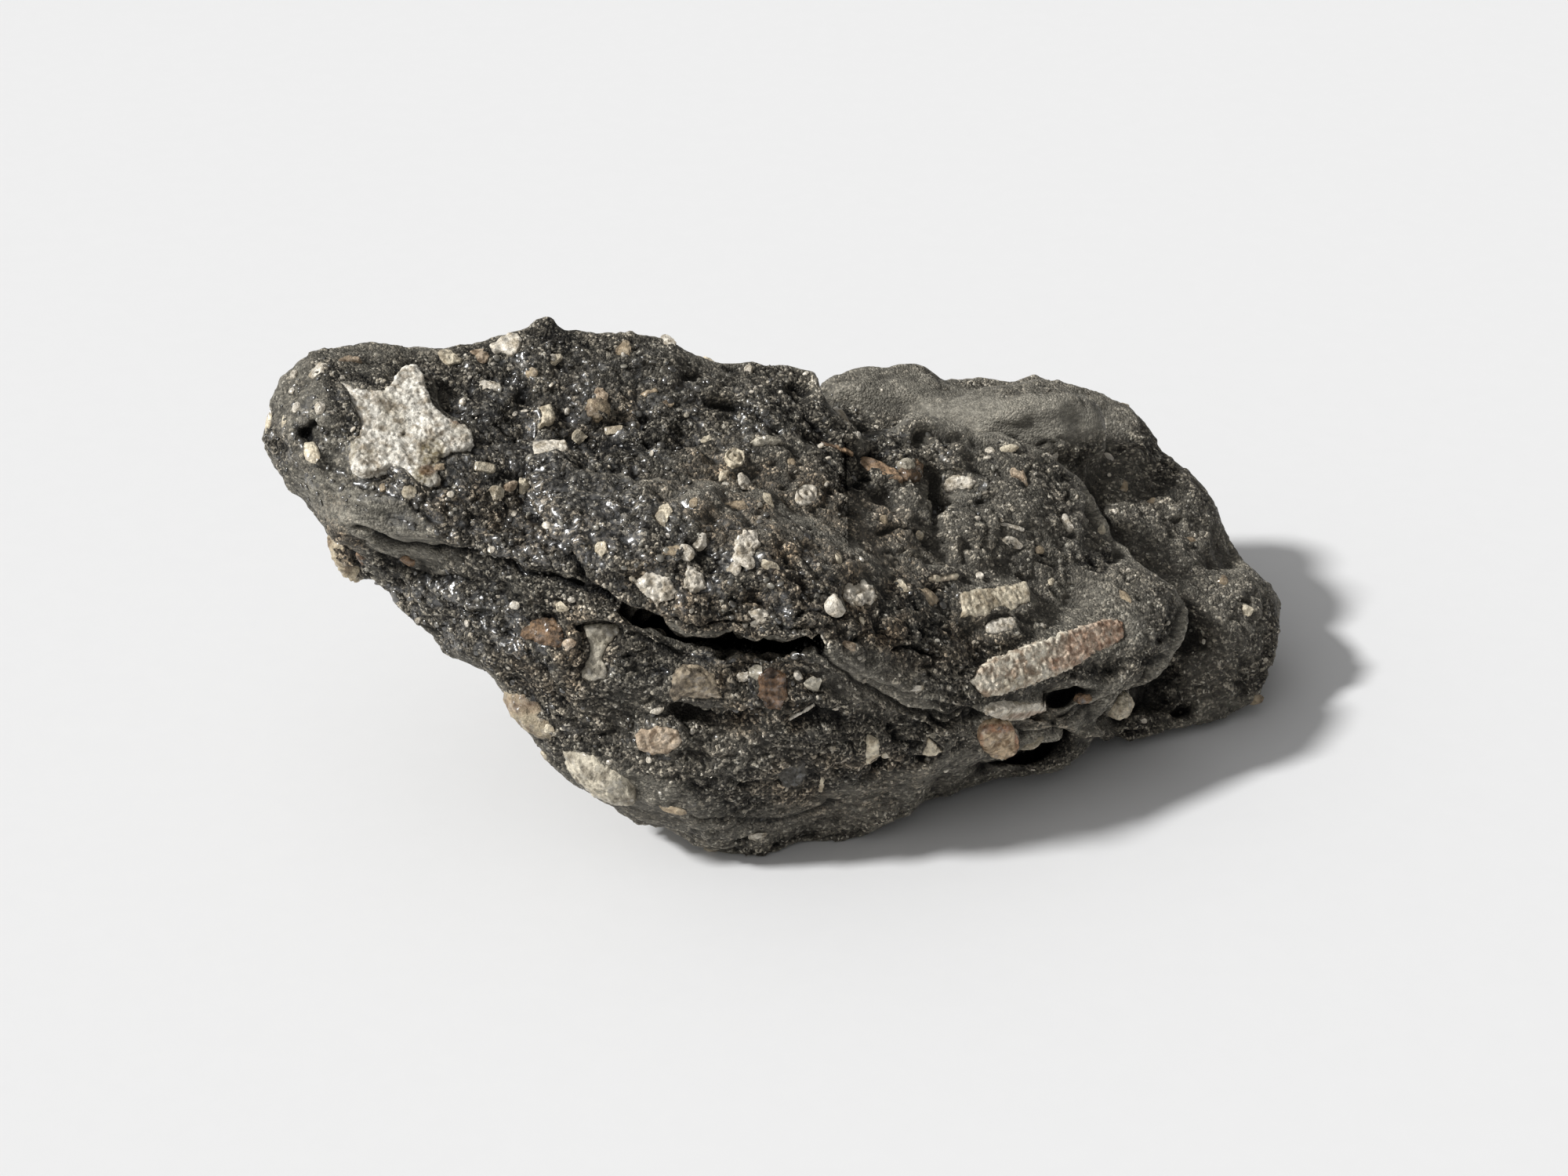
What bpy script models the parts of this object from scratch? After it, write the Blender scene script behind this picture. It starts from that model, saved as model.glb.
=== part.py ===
"""A lump of dark crinoidal limestone with a star-shaped crinoid stem section in its face.

Metres, +Z up. +X runs along the lump's longest side, and the fossil face looks towards -Y and up.
The origin is at the middle of the lump's box, on the surface that it rests on.

The rock is four hulls of chosen corners and a few round lumps, grown together, hollowed, worn and
roughened. The fossils are pieces of their own. Each lies in a seat cut in the rock, a little wider
than itself. Places on the fossil face are given as across and up, in millimetres, as the face is
seen from the front and from VIEW_RISE degrees above the level.
"""

from math import cos, pi, radians, sin

import bmesh
import bpy
from mathutils import Matrix, Vector, geometry, noise
from mathutils.bvhtree import BVHTree

MM = 0.001

# Driving dimensions of the rock: lengths in millimetres, angles in degrees, and shares of one
VIEW_RISE = 30.0
VOXEL = 0.8
SMOOTH_STEPS = 4
SMOOTH_SHARE = 0.5
KEEP_SHARE = 0.18
LUMP_HEIGHT = 0.9
LUMP_LENGTH = 7.0
CRAG_HEIGHT = 0.55
CRAG_LENGTH = 2.6
CRAG_FADING = 0.8
CRAG_SCALING = 2.0
CRAG_OCTAVES = 3
STEP_RAMP = 0.6
STEP_OVERHANG = 0.05
RELIEF_FADE_FROM = 0.1
RELIEF_FADE_OVER = 0.3
CRACK_TAPER = 0.4
# The flat surface that the feet are cut to
FLOOR_WIDTH = 120.0
FLOOR_THICKNESS = 10.0

# Driving dimensions of the fossils and their seats
SEAT_GAP = 0.3
SEAT_DEPTH = 1.3
STAR_DEPTH = 1.6
STEM_DEPTH = 1.5
ABOVE_FACE = 3.0
RAY_START = 60.0
SEAT_SAMPLE = 0.8
SEAT_REACH = 4.0
FALL_AWAY = 0.7
SHARPEST_MITRE = 0.55
CHIP_UNEVENNESS = 0.28
CHIP_WAVES = 1.3
RING_FLATTENING = 0.92
PEBBLE_STEPS = 2

# Corners of the rock's main masses before they are rounded
SLAB = (
    (-29.6, 1.0, 26.6),
    (-26.5, 3.2, 28.3),
    (-23.0, 4.0, 27.6),
    (-17.2, 5.0, 27.8),
    (-14.2, 5.5, 28.7),
    (-10.6, 6.0, 28.1),
    (-6.8, 6.5, 27.4),
    (-1.7, 7.5, 25.9),
    (0.0, 8.0, 23.9),
    (2.2, 8.8, 21.2),
    (7.5, 9.5, 18.8),
    (13.0, 10.0, 18.2),
    (18.6, 9.5, 16.9),
    (20.6, 7.0, 13.6),
    (23.4, 3.5, 11.2),
    (24.6, 0.5, 9.4),
    (24.0, -0.5, 7.2),
    (-30.2, -2.6, 24.6),
    (-28.2, -6.2, 22.6),
    (-26.4, -8.0, 21.2),
    (-22.8, -9.2, 21.0),
    (-18.2, -10.4, 20.8),
    (-13.5, -11.9, 20.0),
    (-9.0, -12.9, 18.2),
    (-1.8, -13.4, 16.4),
    (1.8, -12.9, 16.5),
    (5.5, -12.4, 13.2),
    (12.3, -9.4, 9.2),
    (20.9, -4.4, 6.6),
    (-28.0, 6.0, 22.0),
    (-20.0, 12.0, 14.0),
    (-8.0, 14.0, 14.0),
    (10.0, 14.0, 6.0),
    (18.0, 10.0, 4.0),
    (-16.0, 2.0, 10.0),
    (0.0, 0.0, 4.0),
)
KEEL = (
    (-27.2, -4.6, 20.2),
    (-26.2, -5.4, 18.3),
    (-22.1, -6.2, 15.9),
    (-19.0, -6.6, 14.0),
    (-17.0, -7.0, 12.7),
    (-15.2, -7.8, 10.3),
    (-12.5, -8.5, 8.2),
    (-10.1, -9.0, 5.8),
    (-7.9, -9.5, 4.0),
    (-5.7, -10.0, 2.4),
    (-4.3, -10.2, 1.0),
    (-2.4, -10.2, -0.8),
    (0.6, -9.6, -0.8),
    (4.8, -8.1, 0.9),
    (9.8, -5.5, 1.4),
    (14.8, -3.3, 1.6),
    (20.0, -0.9, 1.2),
    (-22.0, -9.0, 17.5),
    (-13.7, -12.0, 14.5),
    (-6.0, -14.2, 15.2),
    (2.0, -13.8, 14.2),
    (-4.6, -14.4, 11.0),
    (-4.7, -12.7, 5.0),
    (4.6, -12.4, 9.1),
    (12.0, -9.4, 6.5),
    (20.0, -4.2, 5.0),
    (-20.0, 10.0, 10.0),
    (-14.0, 13.0, 1.4),
    (-7.0, 18.0, 1.2),
    (-5.0, -4.0, 0.6),
    (16.0, 14.0, 1.0),
)
BACK_MASS = (
    (2.6, 18.5, 18.7),
    (5.0, 20.0, 19.5),
    (7.6, 21.0, 18.4),
    (10.6, 21.5, 16.2),
    (16.0, 23.0, 14.0),
    (21.2, 24.0, 15.0),
    (23.4, 23.5, 13.5),
    (25.2, 22.0, 12.6),
    (28.8, 19.0, 11.0),
    (30.4, 16.8, 8.2),
    (31.6, 15.0, 4.8),
    (32.6, 13.0, 2.9),
    (32.8, 10.5, 1.7),
    (31.9, 5.8, 1.8),
    (31.2, 4.4, 0.8),
    (29.8, 3.0, -0.2),
    (27.9, 2.3, 0.2),
    (22.6, 0.6, 0.9),
    (16.0, -2.0, 1.4),
    (23.0, 12.0, 11.5),
    (28.0, 8.0, 7.2),
    (30.4, 6.5, 3.8),
    (29.0, 22.0, 1.2),
    (20.0, 28.0, 2.0),
    (5.0, 27.0, 2.0),
    (-5.0, 19.0, 4.0),
    (-2.0, 18.0, 12.0),
    (22.0, 27.0, 7.0),
)
# What joins them inside and behind
CORE = (
    (-24.0, 2.0, 20.0),
    (-22.0, 8.0, 16.0),
    (-16.0, 13.0, 13.0),
    (-6.0, 16.0, 15.0),
    (2.0, 17.0, 16.5),
    (9.0, 17.0, 15.5),
    (17.0, 17.0, 12.5),
    (24.0, 14.0, 8.0),
    (27.0, 12.0, 4.0),
    (22.0, 4.0, 4.0),
    (-15.0, 12.0, 1.4),
    (-7.0, 20.0, 1.4),
    (8.0, 26.0, 1.8),
    (20.0, 26.0, 1.4),
    (-16.0, 0.0, 12.0),
    (0.0, 0.0, 6.0),
    (12.0, 4.0, 10.0),
)
# Rounded lumps on those masses: centre, radii and turn about Y in degrees
LUMPS = (
    ("nose", (-26.2, -0.6, 24.4), (5.4, 6.4, 4.3), 0),
    ("under_star", (-21.5, -4.4, 22.0), (7.4, 5.4, 3.8), 6),
    ("belly_of_slab", (-2.0, -5.5, 17.0), (14.0, 8.0, 4.4), 22),
    ("slab_end", (20.6, 1.4, 9.4), (5.0, 5.0, 3.4), 14),
    ("keel_front", (-6.4, -7.4, 9.0), (11.0, 6.4, 7.4), 30),
    ("keel_left", (-19.2, -4.6, 15.4), (7.6, 4.4, 3.2), 40),
    ("pale_ridge", (15.4, 15.4, 16.2), (6.2, 3.6, 3.0), 2),
    ("right_end", (27.2, 10.4, 4.4), (5.6, 7.0, 4.6), 0),
    ("front_foot", (-1.6, -7.6, 1.4), (5.0, 3.4, 2.9), 0),
    ("back_left_foot", (-9.0, 14.0, 1.6), (4.6, 4.0, 3.4), 0),
    ("back_right_foot", (21.0, 18.0, 1.6), (5.4, 5.0, 3.4), 0),
)
# Hollows cut in the masses: centre, radii and turn about Y in degrees
HOLLOWS = (
    ("star_bay", (-21.0, 5.5, 29.8), (3.4, 3.0, 1.7), 0),
    ("ridge_dip", (4.8, 9.5, 22.4), (3.2, 6.0, 2.6), 40),
    ("between_lobes", (12.6, 22.0, 18.8), (4.0, 6.0, 2.2), 0),
    ("rough_hollow", (10.2, 3.0, 18.4), (2.2, 1.8, 1.5), 20),
    ("pocket", (16.0, -6.6, 8.0), (3.2, 2.4, 1.1), -8),
    ("hollow", (15.4, -5.2, 3.9), (2.8, 2.6, 1.5), 10),
    ("cave", (26.2, 1.2, 6.8), (2.7, 4.2, 3.6), 20),
    ("hole", (25.7, 1.4, 2.9), (1.4, 2.6, 1.1), 0),
    ("valley", (22.2, 10.0, 15.2), (1.7, 5.0, 4.8), 20),
    ("shoulder_notch", (26.3, 21.0, 13.2), (1.7, 5.0, 1.9), 30),
)
# Swells (+) and hollows (-) of the face: across, up, half length, half width, turn and height
FACE_FORMS = (
    ("nose_pit", -27.9, 20.4, 1.4, 1.1, 0, -1.1),
    ("worn_cheek", -23.0, 15.8, 5.0, 2.2, 0, 0.6),
    ("crest", -9.0, 25.0, 8.0, 2.2, -10, 0.6),
    ("trough_under_crest", -6.0, 21.4, 7.0, 1.6, -8, -0.8),
    ("middle_swell", -4.0, 14.6, 9.0, 3.4, -14, 0.8),
    ("shell_trough", 6.4, 19.4, 4.6, 1.2, -26, -0.8),
    ("lower_right_swell", 14.0, 9.6, 9.0, 3.0, -20, 0.8),
    ("keel_swell", -12.6, 7.6, 6.0, 3.2, -30, 0.6),
    ("keel_dent", -3.9, 3.4, 3.2, 1.5, 0, -1.3),
    ("keel_foot_swell", -4.0, 0.2, 7.0, 2.4, -6, 0.5),
    ("right_brow", 20.0, 12.0, 3.0, 2.4, 0, 0.5),
)
# Steps of the face: line of across and up, height and reach. A positive height raises the side on the
# left of the line and a negative one the side on its right, and both sink back over the reach
FACE_STEPS = (
    ("ledge", ((-6.3, 10.9), (-11.2, 12.7), (-13.0, 13.8), (-14.8, 15.3), (-15.0, 18.6)), -1.0, 7.0),
    (
        "slab_over_keel",
        ((-26.0, 14.0), (-20.1, 13.6), (-13.5, 11.7), (-8.6, 9.4), (-1.8, 7.6), (5.5, 4.9), (12.3, 3.1)),
        0.8,
        4.5,
    ),
)
# The open crack under the slab: across, up, half width and depth
CRACK = (
    (-18.4, 13.1, 0.12, 0.8),
    (-13.5, 11.7, 0.2, 2.0),
    (-10.6, 10.9, 0.3, 3.5),
    (-8.6, 9.4, 0.36, 5.0),
    (-5.9, 8.3, 0.6, 7.0),
    (-3.4, 7.6, 0.66, 7.0),
    (-0.8, 7.6, 0.6, 7.0),
    (1.9, 8.2, 0.42, 5.0),
    (2.8, 6.8, 0.3, 2.5),
    (5.6, 5.0, 0.16, 1.2),
)

INTO_FACE = Vector((0.0, cos(radians(VIEW_RISE)), -sin(radians(VIEW_RISE))))
UP_FACE = Vector((0.0, sin(radians(VIEW_RISE)), cos(radians(VIEW_RISE))))
ACROSS = Vector((1.0, 0.0, 0.0))


def clear_scene():
    for obj in list(bpy.data.objects):
        bpy.data.objects.remove(obj, do_unlink=True)


def new_object(name, mesh):
    """Makes an object of the bmesh and frees it."""
    data = bpy.data.meshes.new(name)
    mesh.to_mesh(data)
    mesh.free()
    obj = bpy.data.objects.new(name, data)
    bpy.context.scene.collection.objects.link(obj)
    return obj


def new_cutter(name, mesh):
    cutter = new_object(name, mesh)
    cutter.hide_render = True
    cutter.display_type = "WIRE"
    return cutter


def add_hull(mesh, corners):
    """Adds the convex hull of the corners to the bmesh."""
    made = [mesh.verts.new(Vector(corner) * MM) for corner in corners]
    found = bmesh.ops.convex_hull(mesh, input=made)
    inside = [item for item in found["geom_interior"] if isinstance(item, bmesh.types.BMVert)]
    bmesh.ops.delete(mesh, geom=inside, context="VERTS")


def add_lump(mesh, centre, radii, turn, steps=3):
    """Adds an ellipsoid to the bmesh, turned about Y by the given degrees, its +X side going down."""
    place = Matrix.Translation(Vector(centre) * MM)
    turned = Matrix.Rotation(radians(turn), 4, "Y")
    size = Matrix.Diagonal((*(Vector(radii) * MM), 1.0))
    bmesh.ops.create_icosphere(mesh, subdivisions=steps, radius=1.0, matrix=place @ turned @ size)


def add_loft(mesh, rings, top=None):
    """Adds a closed body through rings of points, the last one closed by the top point if given."""
    made = [[mesh.verts.new(point) for point in ring] for ring in rings]
    count = len(rings[0])
    mesh.faces.new(reversed(made[0]))
    for low, high in zip(made, made[1:]):
        for index in range(count):
            after = (index + 1) % count
            mesh.faces.new((low[index], low[after], high[after], high[index]))
    if top is None:
        mesh.faces.new(made[-1])
        return
    peak = mesh.verts.new(top)
    for index in range(count):
        mesh.faces.new((made[-1][index], made[-1][(index + 1) % count], peak))


def bake_modifiers(obj):
    """Replaces the object's mesh by what its modifiers make of it."""
    depsgraph = bpy.context.evaluated_depsgraph_get()
    baked = bpy.data.meshes.new_from_object(obj.evaluated_get(depsgraph))
    obj.modifiers.clear()
    obj.data = baked


def add_boolean(obj, name, cutter, solver="EXACT", crossing=False):
    """Cuts the cutter from the object. crossing is for bodies of one object that run into each other."""
    cut = obj.modifiers.new(name, "BOOLEAN")
    cut.operation = "DIFFERENCE"
    cut.object = cutter
    cut.solver = solver
    cut.use_self = crossing


def add_remesh(obj, name):
    remesh = obj.modifiers.new(name, "REMESH")
    remesh.mode = "VOXEL"
    remesh.voxel_size = VOXEL * MM


def hollow_cutters():
    mesh = bmesh.new()
    for _, centre, radii, turn in HOLLOWS:
        add_lump(mesh, centre, radii, turn)
    return new_cutter("hollow_cutters", mesh)


def form_height(spot):
    """How far the face's swells and hollows move a spot, given as across and up."""
    total = 0.0
    for _, across, up, half_length, half_width, turn, height in FACE_FORMS:
        aside = spot - Vector((across, up))
        aside.rotate(Matrix.Rotation(radians(-turn), 2))
        far = (aside.x / half_length) ** 2 + (aside.y / half_width) ** 2
        if far < 1.0:
            total += height * (1.0 - far) ** 2
    return total


def step_height(spot):
    """How far the face's steps raise a spot, given as across and up."""
    total = 0.0
    for _, line, height, reach in FACE_STEPS:
        nearest = None
        for start, end in zip(line, line[1:]):
            start = Vector(start)
            end = Vector(end)
            foot, share = geometry.intersect_point_line(spot, start, end)
            if not -STEP_OVERHANG <= share <= 1.0 + STEP_OVERHANG:
                continue
            aside = spot - foot.xy
            left = (end - start).x * aside.y - (end - start).y * aside.x
            distance = aside.length if left > 0 else -aside.length
            if nearest is None or abs(distance) < abs(nearest):
                nearest = distance
        if nearest is None:
            continue
        proud = nearest if height > 0 else -nearest
        if proud > 0:
            total += abs(height) * min(proud / STEP_RAMP, 1.0) * max(1.0 - proud / reach, 0.0)
    return total


def move_out(obj, move):
    """Moves each vertex along its normal by the millimetres that move(place, normal) gives."""
    mesh = bmesh.new()
    mesh.from_mesh(obj.data)
    mesh.normal_update()
    moves = [move(vert.co / MM, vert.normal) for vert in mesh.verts]
    for vert, distance in zip(mesh.verts, moves):
        vert.co += vert.normal * distance * MM
    mesh.to_mesh(obj.data)
    mesh.free()


def face_relief(place, normal):
    """The forms that the fossil face has, fading out where the surface turns away from the front."""
    towards = -normal.dot(INTO_FACE) - RELIEF_FADE_FROM
    if towards < 0:
        return 0.0
    spot = Vector((place.x, place.dot(UP_FACE)))
    return (form_height(spot) + step_height(spot)) * min(towards / RELIEF_FADE_OVER, 1.0)


def crags(place, normal):
    """Broad lumps and smaller crags all over the rock."""
    lumps = noise.noise(place / LUMP_LENGTH)
    small = noise.fractal(place / CRAG_LENGTH, CRAG_FADING, CRAG_SCALING, CRAG_OCTAVES)
    return lumps * LUMP_HEIGHT + small * CRAG_HEIGHT


def rock_mass():
    """The rock without its seats: masses grown together, hollowed, worn, and given the face's forms."""
    mesh = bmesh.new()
    add_hull(mesh, SLAB)
    add_hull(mesh, KEEL)
    add_hull(mesh, BACK_MASS)
    add_hull(mesh, CORE)
    for _, centre, radii, turn in LUMPS:
        add_lump(mesh, centre, radii, turn)
    rock = new_object("matrix_rock", mesh)
    cutter = hollow_cutters()
    add_remesh(rock, "one_mass")
    add_boolean(rock, "hollows", cutter, crossing=True)
    add_remesh(rock, "even_faces")
    smooth = rock.modifiers.new("worn_edges", "SMOOTH")
    smooth.factor = SMOOTH_SHARE
    smooth.iterations = SMOOTH_STEPS
    bake_modifiers(rock)
    bpy.data.objects.remove(cutter)
    move_out(rock, face_relief)
    rock.data.shade_smooth()
    return rock


def before_face(across, up):
    """The point in front of the rock from which a spot of its face is seen straight on."""
    return (ACROSS * across + UP_FACE * up - INTO_FACE * RAY_START) * MM


class Face:
    """The worn face before it is roughened, on which the fossils are laid."""

    def __init__(self, rock):
        mesh = bmesh.new()
        mesh.from_mesh(rock.data)
        self.tree = BVHTree.FromBMesh(mesh)
        mesh.free()

    def hit(self, across, up):
        """The point of the face at across and up, and its normal."""
        place, normal, _, _ = self.tree.ray_cast(before_face(across, up), INTO_FACE)
        return place, normal

    def seat(self, across, up, outline):
        """The place and the mean normal of the face under an outline."""
        place, normal = self.hit(across, up)
        total = normal.copy()
        for right, rise in outline:
            spot, found = self.hit(across + right * SEAT_SAMPLE, up + rise * SEAT_SAMPLE)
            if spot is not None and (spot - place).length < SEAT_REACH * MM:
                total += found
        return place, total.normalized()

    def laid(self, across, up, place, normal):
        """The point of the face at across and up, or of the seat's plane where the face falls away."""
        start = before_face(across, up)
        flat = start + INTO_FACE * ((place - start).dot(normal) / INTO_FACE.dot(normal))
        spot, _ = self.hit(across, up)
        if spot is None or abs((spot - flat).dot(normal)) > FALL_AWAY * MM:
            return flat
        return spot


def widened(outline, by):
    """The outline with each side moved outwards, or inwards where by is negative."""
    points = [Vector(point) for point in outline]
    moved = []
    for index, point in enumerate(points):
        before = (point - points[index - 1]).normalized()
        after = (points[(index + 1) % len(points)] - point).normalized()
        across = Vector((before.y, -before.x)) + Vector((after.y, -after.x))
        across.normalize()
        share = max(across.dot(Vector((before.y, -before.x))), SHARPEST_MITRE)
        moved.append(point + across * (by / share))
    return moved


def turned(outline, turn):
    found = [Vector(point) for point in outline]
    for point in found:
        point.rotate(Matrix.Rotation(radians(turn), 2))
    return found


def box_outline(length, width, cut=0.22):
    """A rectangle with its corners cut off."""
    x = length / 2
    y = width / 2
    nip = cut * width
    corners = ((x, y - nip), (x - nip, y), (-x + nip, y), (-x, y - nip))
    return list(corners) + [(-a, -b) for a, b in corners]


def round_outline(length, width, count=12):
    angles = [pi * 2 * k / count for k in range(count)]
    return [(cos(angle) * length / 2, sin(angle) * width / 2) for angle in angles]


def chip_outline(length, width, seed, count=8):
    """An irregular rounded outline."""
    found = []
    for k in range(count):
        angle = pi * 2 * k / count
        sample = Vector((cos(angle) * CHIP_WAVES, sin(angle) * CHIP_WAVES, seed))
        uneven = 1.0 + CHIP_UNEVENNESS * noise.noise(sample)
        found.append((cos(angle) * length / 2 * uneven, sin(angle) * width / 2 * uneven))
    return found


def lay(face, seats, name, spot, outline, rings, crown, colour, depth=SEAT_DEPTH):
    """Lays a fossil on the face at a spot, given as across and up, and adds its seat to the seats.

    rings are pairs of inset and height above the face, and crown is the height of the middle.
    """
    across, up = spot
    place, normal = face.seat(across, up, outline)
    laid = [face.laid(across + right, up + rise, place, normal) for right, rise in outline]
    rises = [(point - place).dot(normal) / MM for point in laid]

    def ring(wider, lifts):
        points = []
        for point, old, new, lift in zip(laid, outline, widened(outline, wider), lifts):
            aside = ACROSS * (new.x - old[0]) + UP_FACE * (new.y - old[1])
            along = aside - INTO_FACE * (aside.dot(normal) / INTO_FACE.dot(normal))
            points.append(point + (along + normal * lift) * MM)
        return points

    def level(wider, height):
        return ring(wider, [height - rise for rise in rises])

    mesh = bmesh.new()
    found = [level(0.0, min(rises) - depth)]
    for inset, height in rings:
        found.append(ring(-inset, [height] * len(laid)))
    add_loft(mesh, found, place + normal * crown * MM)
    piece = new_object(name, mesh)
    piece.data.materials.append(material(name, colour, FOSSIL_ROUGHNESS))
    seat_floor = level(SEAT_GAP, min(rises) - depth - SEAT_GAP)
    add_loft(seats, [seat_floor, level(SEAT_GAP, max(rises) + ABOVE_FACE)])


def lay_pebble(seats, name, centre, radii, turn, colour):
    """Sets an ellipsoid in the rock at a place in millimetres and adds its seat to the seats."""
    mesh = bmesh.new()
    add_lump(mesh, centre, radii, turn, PEBBLE_STEPS)
    piece = new_object(name, mesh)
    piece.data.shade_smooth()
    piece.data.materials.append(material(name, colour, FOSSIL_ROUGHNESS))
    add_lump(seats, centre, [radius + SEAT_GAP for radius in radii], turn, PEBBLE_STEPS)


def material(name, colour, roughness):
    made = bpy.data.materials.new(name)
    made.use_nodes = True
    shader = made.node_tree.nodes["Principled BSDF"]
    shader.inputs["Base Color"].default_value = (*colour, 1.0)
    shader.inputs["Roughness"].default_value = roughness
    shader.inputs["Metallic"].default_value = 0.0
    return made


CREAM = (0.56, 0.5, 0.38)
WHITE = (0.62, 0.58, 0.5)
TAN = (0.42, 0.33, 0.2)
BROWN = (0.2, 0.11, 0.06)
RED_BROWN = (0.3, 0.14, 0.09)
GREY_GREEN = (0.3, 0.31, 0.25)
DARK_STONE = (0.06, 0.06, 0.058)
FOSSIL_ROUGHNESS = 0.5
ROCK_ROUGHNESS = 0.6

# Outlines around their own middles, from the upper left arm's tip down the left side and round
STAR = (
    (-3.7, 2.9),
    (-3.4, 1.9),
    (-2.8, 0.9),
    (-2.5, 0.2),
    (-2.7, -0.7),
    (-3.1, -1.3),
    (-2.8, -1.9),
    (-2.0, -2.3),
    (-1.3, -2.2),
    (-0.6, -1.9),
    (0.7, -3.1),
    (1.4, -3.2),
    (2.2, -2.4),
    (1.9, -1.1),
    (3.1, -1.1),
    (4.0, -0.5),
    (4.0, 0.1),
    (3.3, 0.7),
    (2.5, 0.8),
    (1.5, 1.6),
    (1.3, 2.6),
    (1.2, 3.5),
    (0.6, 4.1),
    (0.0, 3.8),
    (-0.6, 2.9),
    (-1.2, 2.3),
    (-2.0, 2.5),
    (-2.7, 2.9),
)
LONG_STEM = (
    (-4.6, -1.3),
    (-3.7, -2.2),
    (-2.7, -2.3),
    (-1.4, -1.9),
    (0.1, -1.4),
    (2.0, -0.6),
    (3.7, 0.1),
    (4.6, 0.8),
    (4.7, 1.6),
    (4.3, 2.3),
    (3.2, 2.3),
    (1.8, 1.9),
    (0.6, 1.3),
    (-0.9, 0.9),
    (-2.6, 0.0),
    (-4.0, -0.6),
)
STEM_BLOCK = ((-2.1, 0.5), (-1.9, -0.9), (-0.3, -1.0), (2.0, -0.7), (2.2, 0.0), (1.8, 1.1), (-0.4, 0.8))
SMALL_BLOCK = ((-0.9, 0.1), (-0.6, -0.5), (0.2, -0.5), (0.9, 0.0), (0.8, 0.4), (-0.1, 0.4))
FLAKE = ((-1.8, -0.3), (-0.6, -0.4), (0.5, -0.3), (1.7, 0.3), (1.6, 0.6), (0.3, 0.4), (-0.9, 0.1))
HOURGLASS = (
    (-1.0, 1.3),
    (-0.4, 0.1),
    (-0.6, -1.5),
    (0.1, -1.8),
    (0.8, -1.5),
    (0.4, -0.2),
    (1.0, 1.4),
    (0.2, 1.6),
)
RIDGE_FLAKE = ((-1.0, 0.0), (0.5, -0.7), (1.0, 0.5), (0.3, 0.7))
TRIANGLE = ((-0.8, -0.6), (0.8, -0.5), (0.0, 0.9))

# Rims of the fossils: pairs of inset and height above the face
LOW_RIM = ((0.0, 0.1), (0.2, 0.3))
FLAT_RIM = ((0.0, 0.05), (0.15, 0.15))
STAR_RIM = ((0.0, 0.15), (0.3, 0.45))
ROUND_BACK = ((0.0, 0.1), (0.35, 0.6), (0.7, 0.85))
DISHED_RIM = ((0.0, 0.15), (0.15, 0.3), (0.3, 0.25), (0.42, -0.3))
# Heights of their middles above the face
LOW_CROWN = 0.4
FLAT_CROWN = 0.2
STAR_CROWN = 0.5
ROUND_CROWN = 0.9
BLOCK_CROWN = 0.35
DISHED_CROWN = -0.3
# Chips and crystals: name, across, up, length, width, turn and colour
CHIPS = (
    ("white_chip_left", -7.4, 11.1, 2.1, 2.0, 20, WHITE),
    ("white_chip_right", 4.5, 10.8, 2.1, 1.8, 10, WHITE),
    ("white_chip_middle", -5.0, 12.1, 1.1, 1.4, -20, WHITE),
    ("white_chip_upper", -2.1, 13.9, 1.6, 2.0, 0, WHITE),
    ("pale_chip_over_crack", -10.6, 13.5, 1.0, 1.3, 0, CREAM),
    ("tan_chip", -11.2, 21.9, 1.4, 1.1, 0, TAN),
    ("cream_chip", -14.3, 21.7, 1.1, 1.3, 0, CREAM),
    ("brown_chip", -13.7, 8.5, 2.3, 1.8, -20, TAN),
    ("grey_plate", -5.0, 5.3, 2.8, 1.9, -10, GREY_GREEN),
    ("brown_plate", -0.7, 5.2, 1.8, 2.8, 0, BROWN),
    ("pink_lens", -6.9, 2.4, 2.8, 1.6, -6, RED_BROWN),
    ("brown_crystal", 7.8, 18.4, 1.5, 1.4, 30, BROWN),
    ("pale_chip_low", 5.2, 1.4, 1.0, 1.6, -20, CREAM),
)
# Short bars of stem seen from the side: name, across, up, length, width, turn and colour
BARS = (
    ("upper_bar", -14.0, 19.5, 2.1, 0.95, 0, WHITE),
    ("right_bar", 11.0, 17.7, 2.1, 1.0, 0, WHITE),
    ("rod_fragment", 9.6, 11.9, 1.9, 0.5, 6, CREAM),
)
# Round stem sections with the hole of the stem's canal: name, across, up, width and colour
RINGS = (
    ("ring_columnal", 1.4, 16.9, 1.5, WHITE),
    ("ring_columnal_small", -2.8, 19.2, 1.2, GREY_GREEN),
)
# Nodules set in the rock's edges and pockets: name, place, radii, turn about Y and colour
NODULES = (
    ("keel_nodule_upper", (-14.4, -9.9, 10.2), (1.9, 1.8, 1.3), 30, TAN),
    ("keel_nodule_lower", (-10.9, -11.3, 7.2), (1.9, 1.9, 1.8), 20, CREAM),
    ("edge_nodule", (-26.0, -5.2, 18.4), (0.9, 1.2, 1.9), -20, TAN),
    ("pocket_ossicle", (13.1, -7.6, 6.2), (1.25, 0.9, 1.1), 0, BROWN),
    ("pale_knob", (21.0, -1.6, 5.4), (0.8, 1.1, 0.8), 0, CREAM),
)


def star_columnal(face, seats):
    """The star-shaped stem section, with its low worn rim and slightly raised middle."""
    place = (-22.3, 20.3)
    lay(face, seats, "star_columnal", place, STAR, STAR_RIM, STAR_CROWN, CREAM, STAR_DEPTH)


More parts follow.
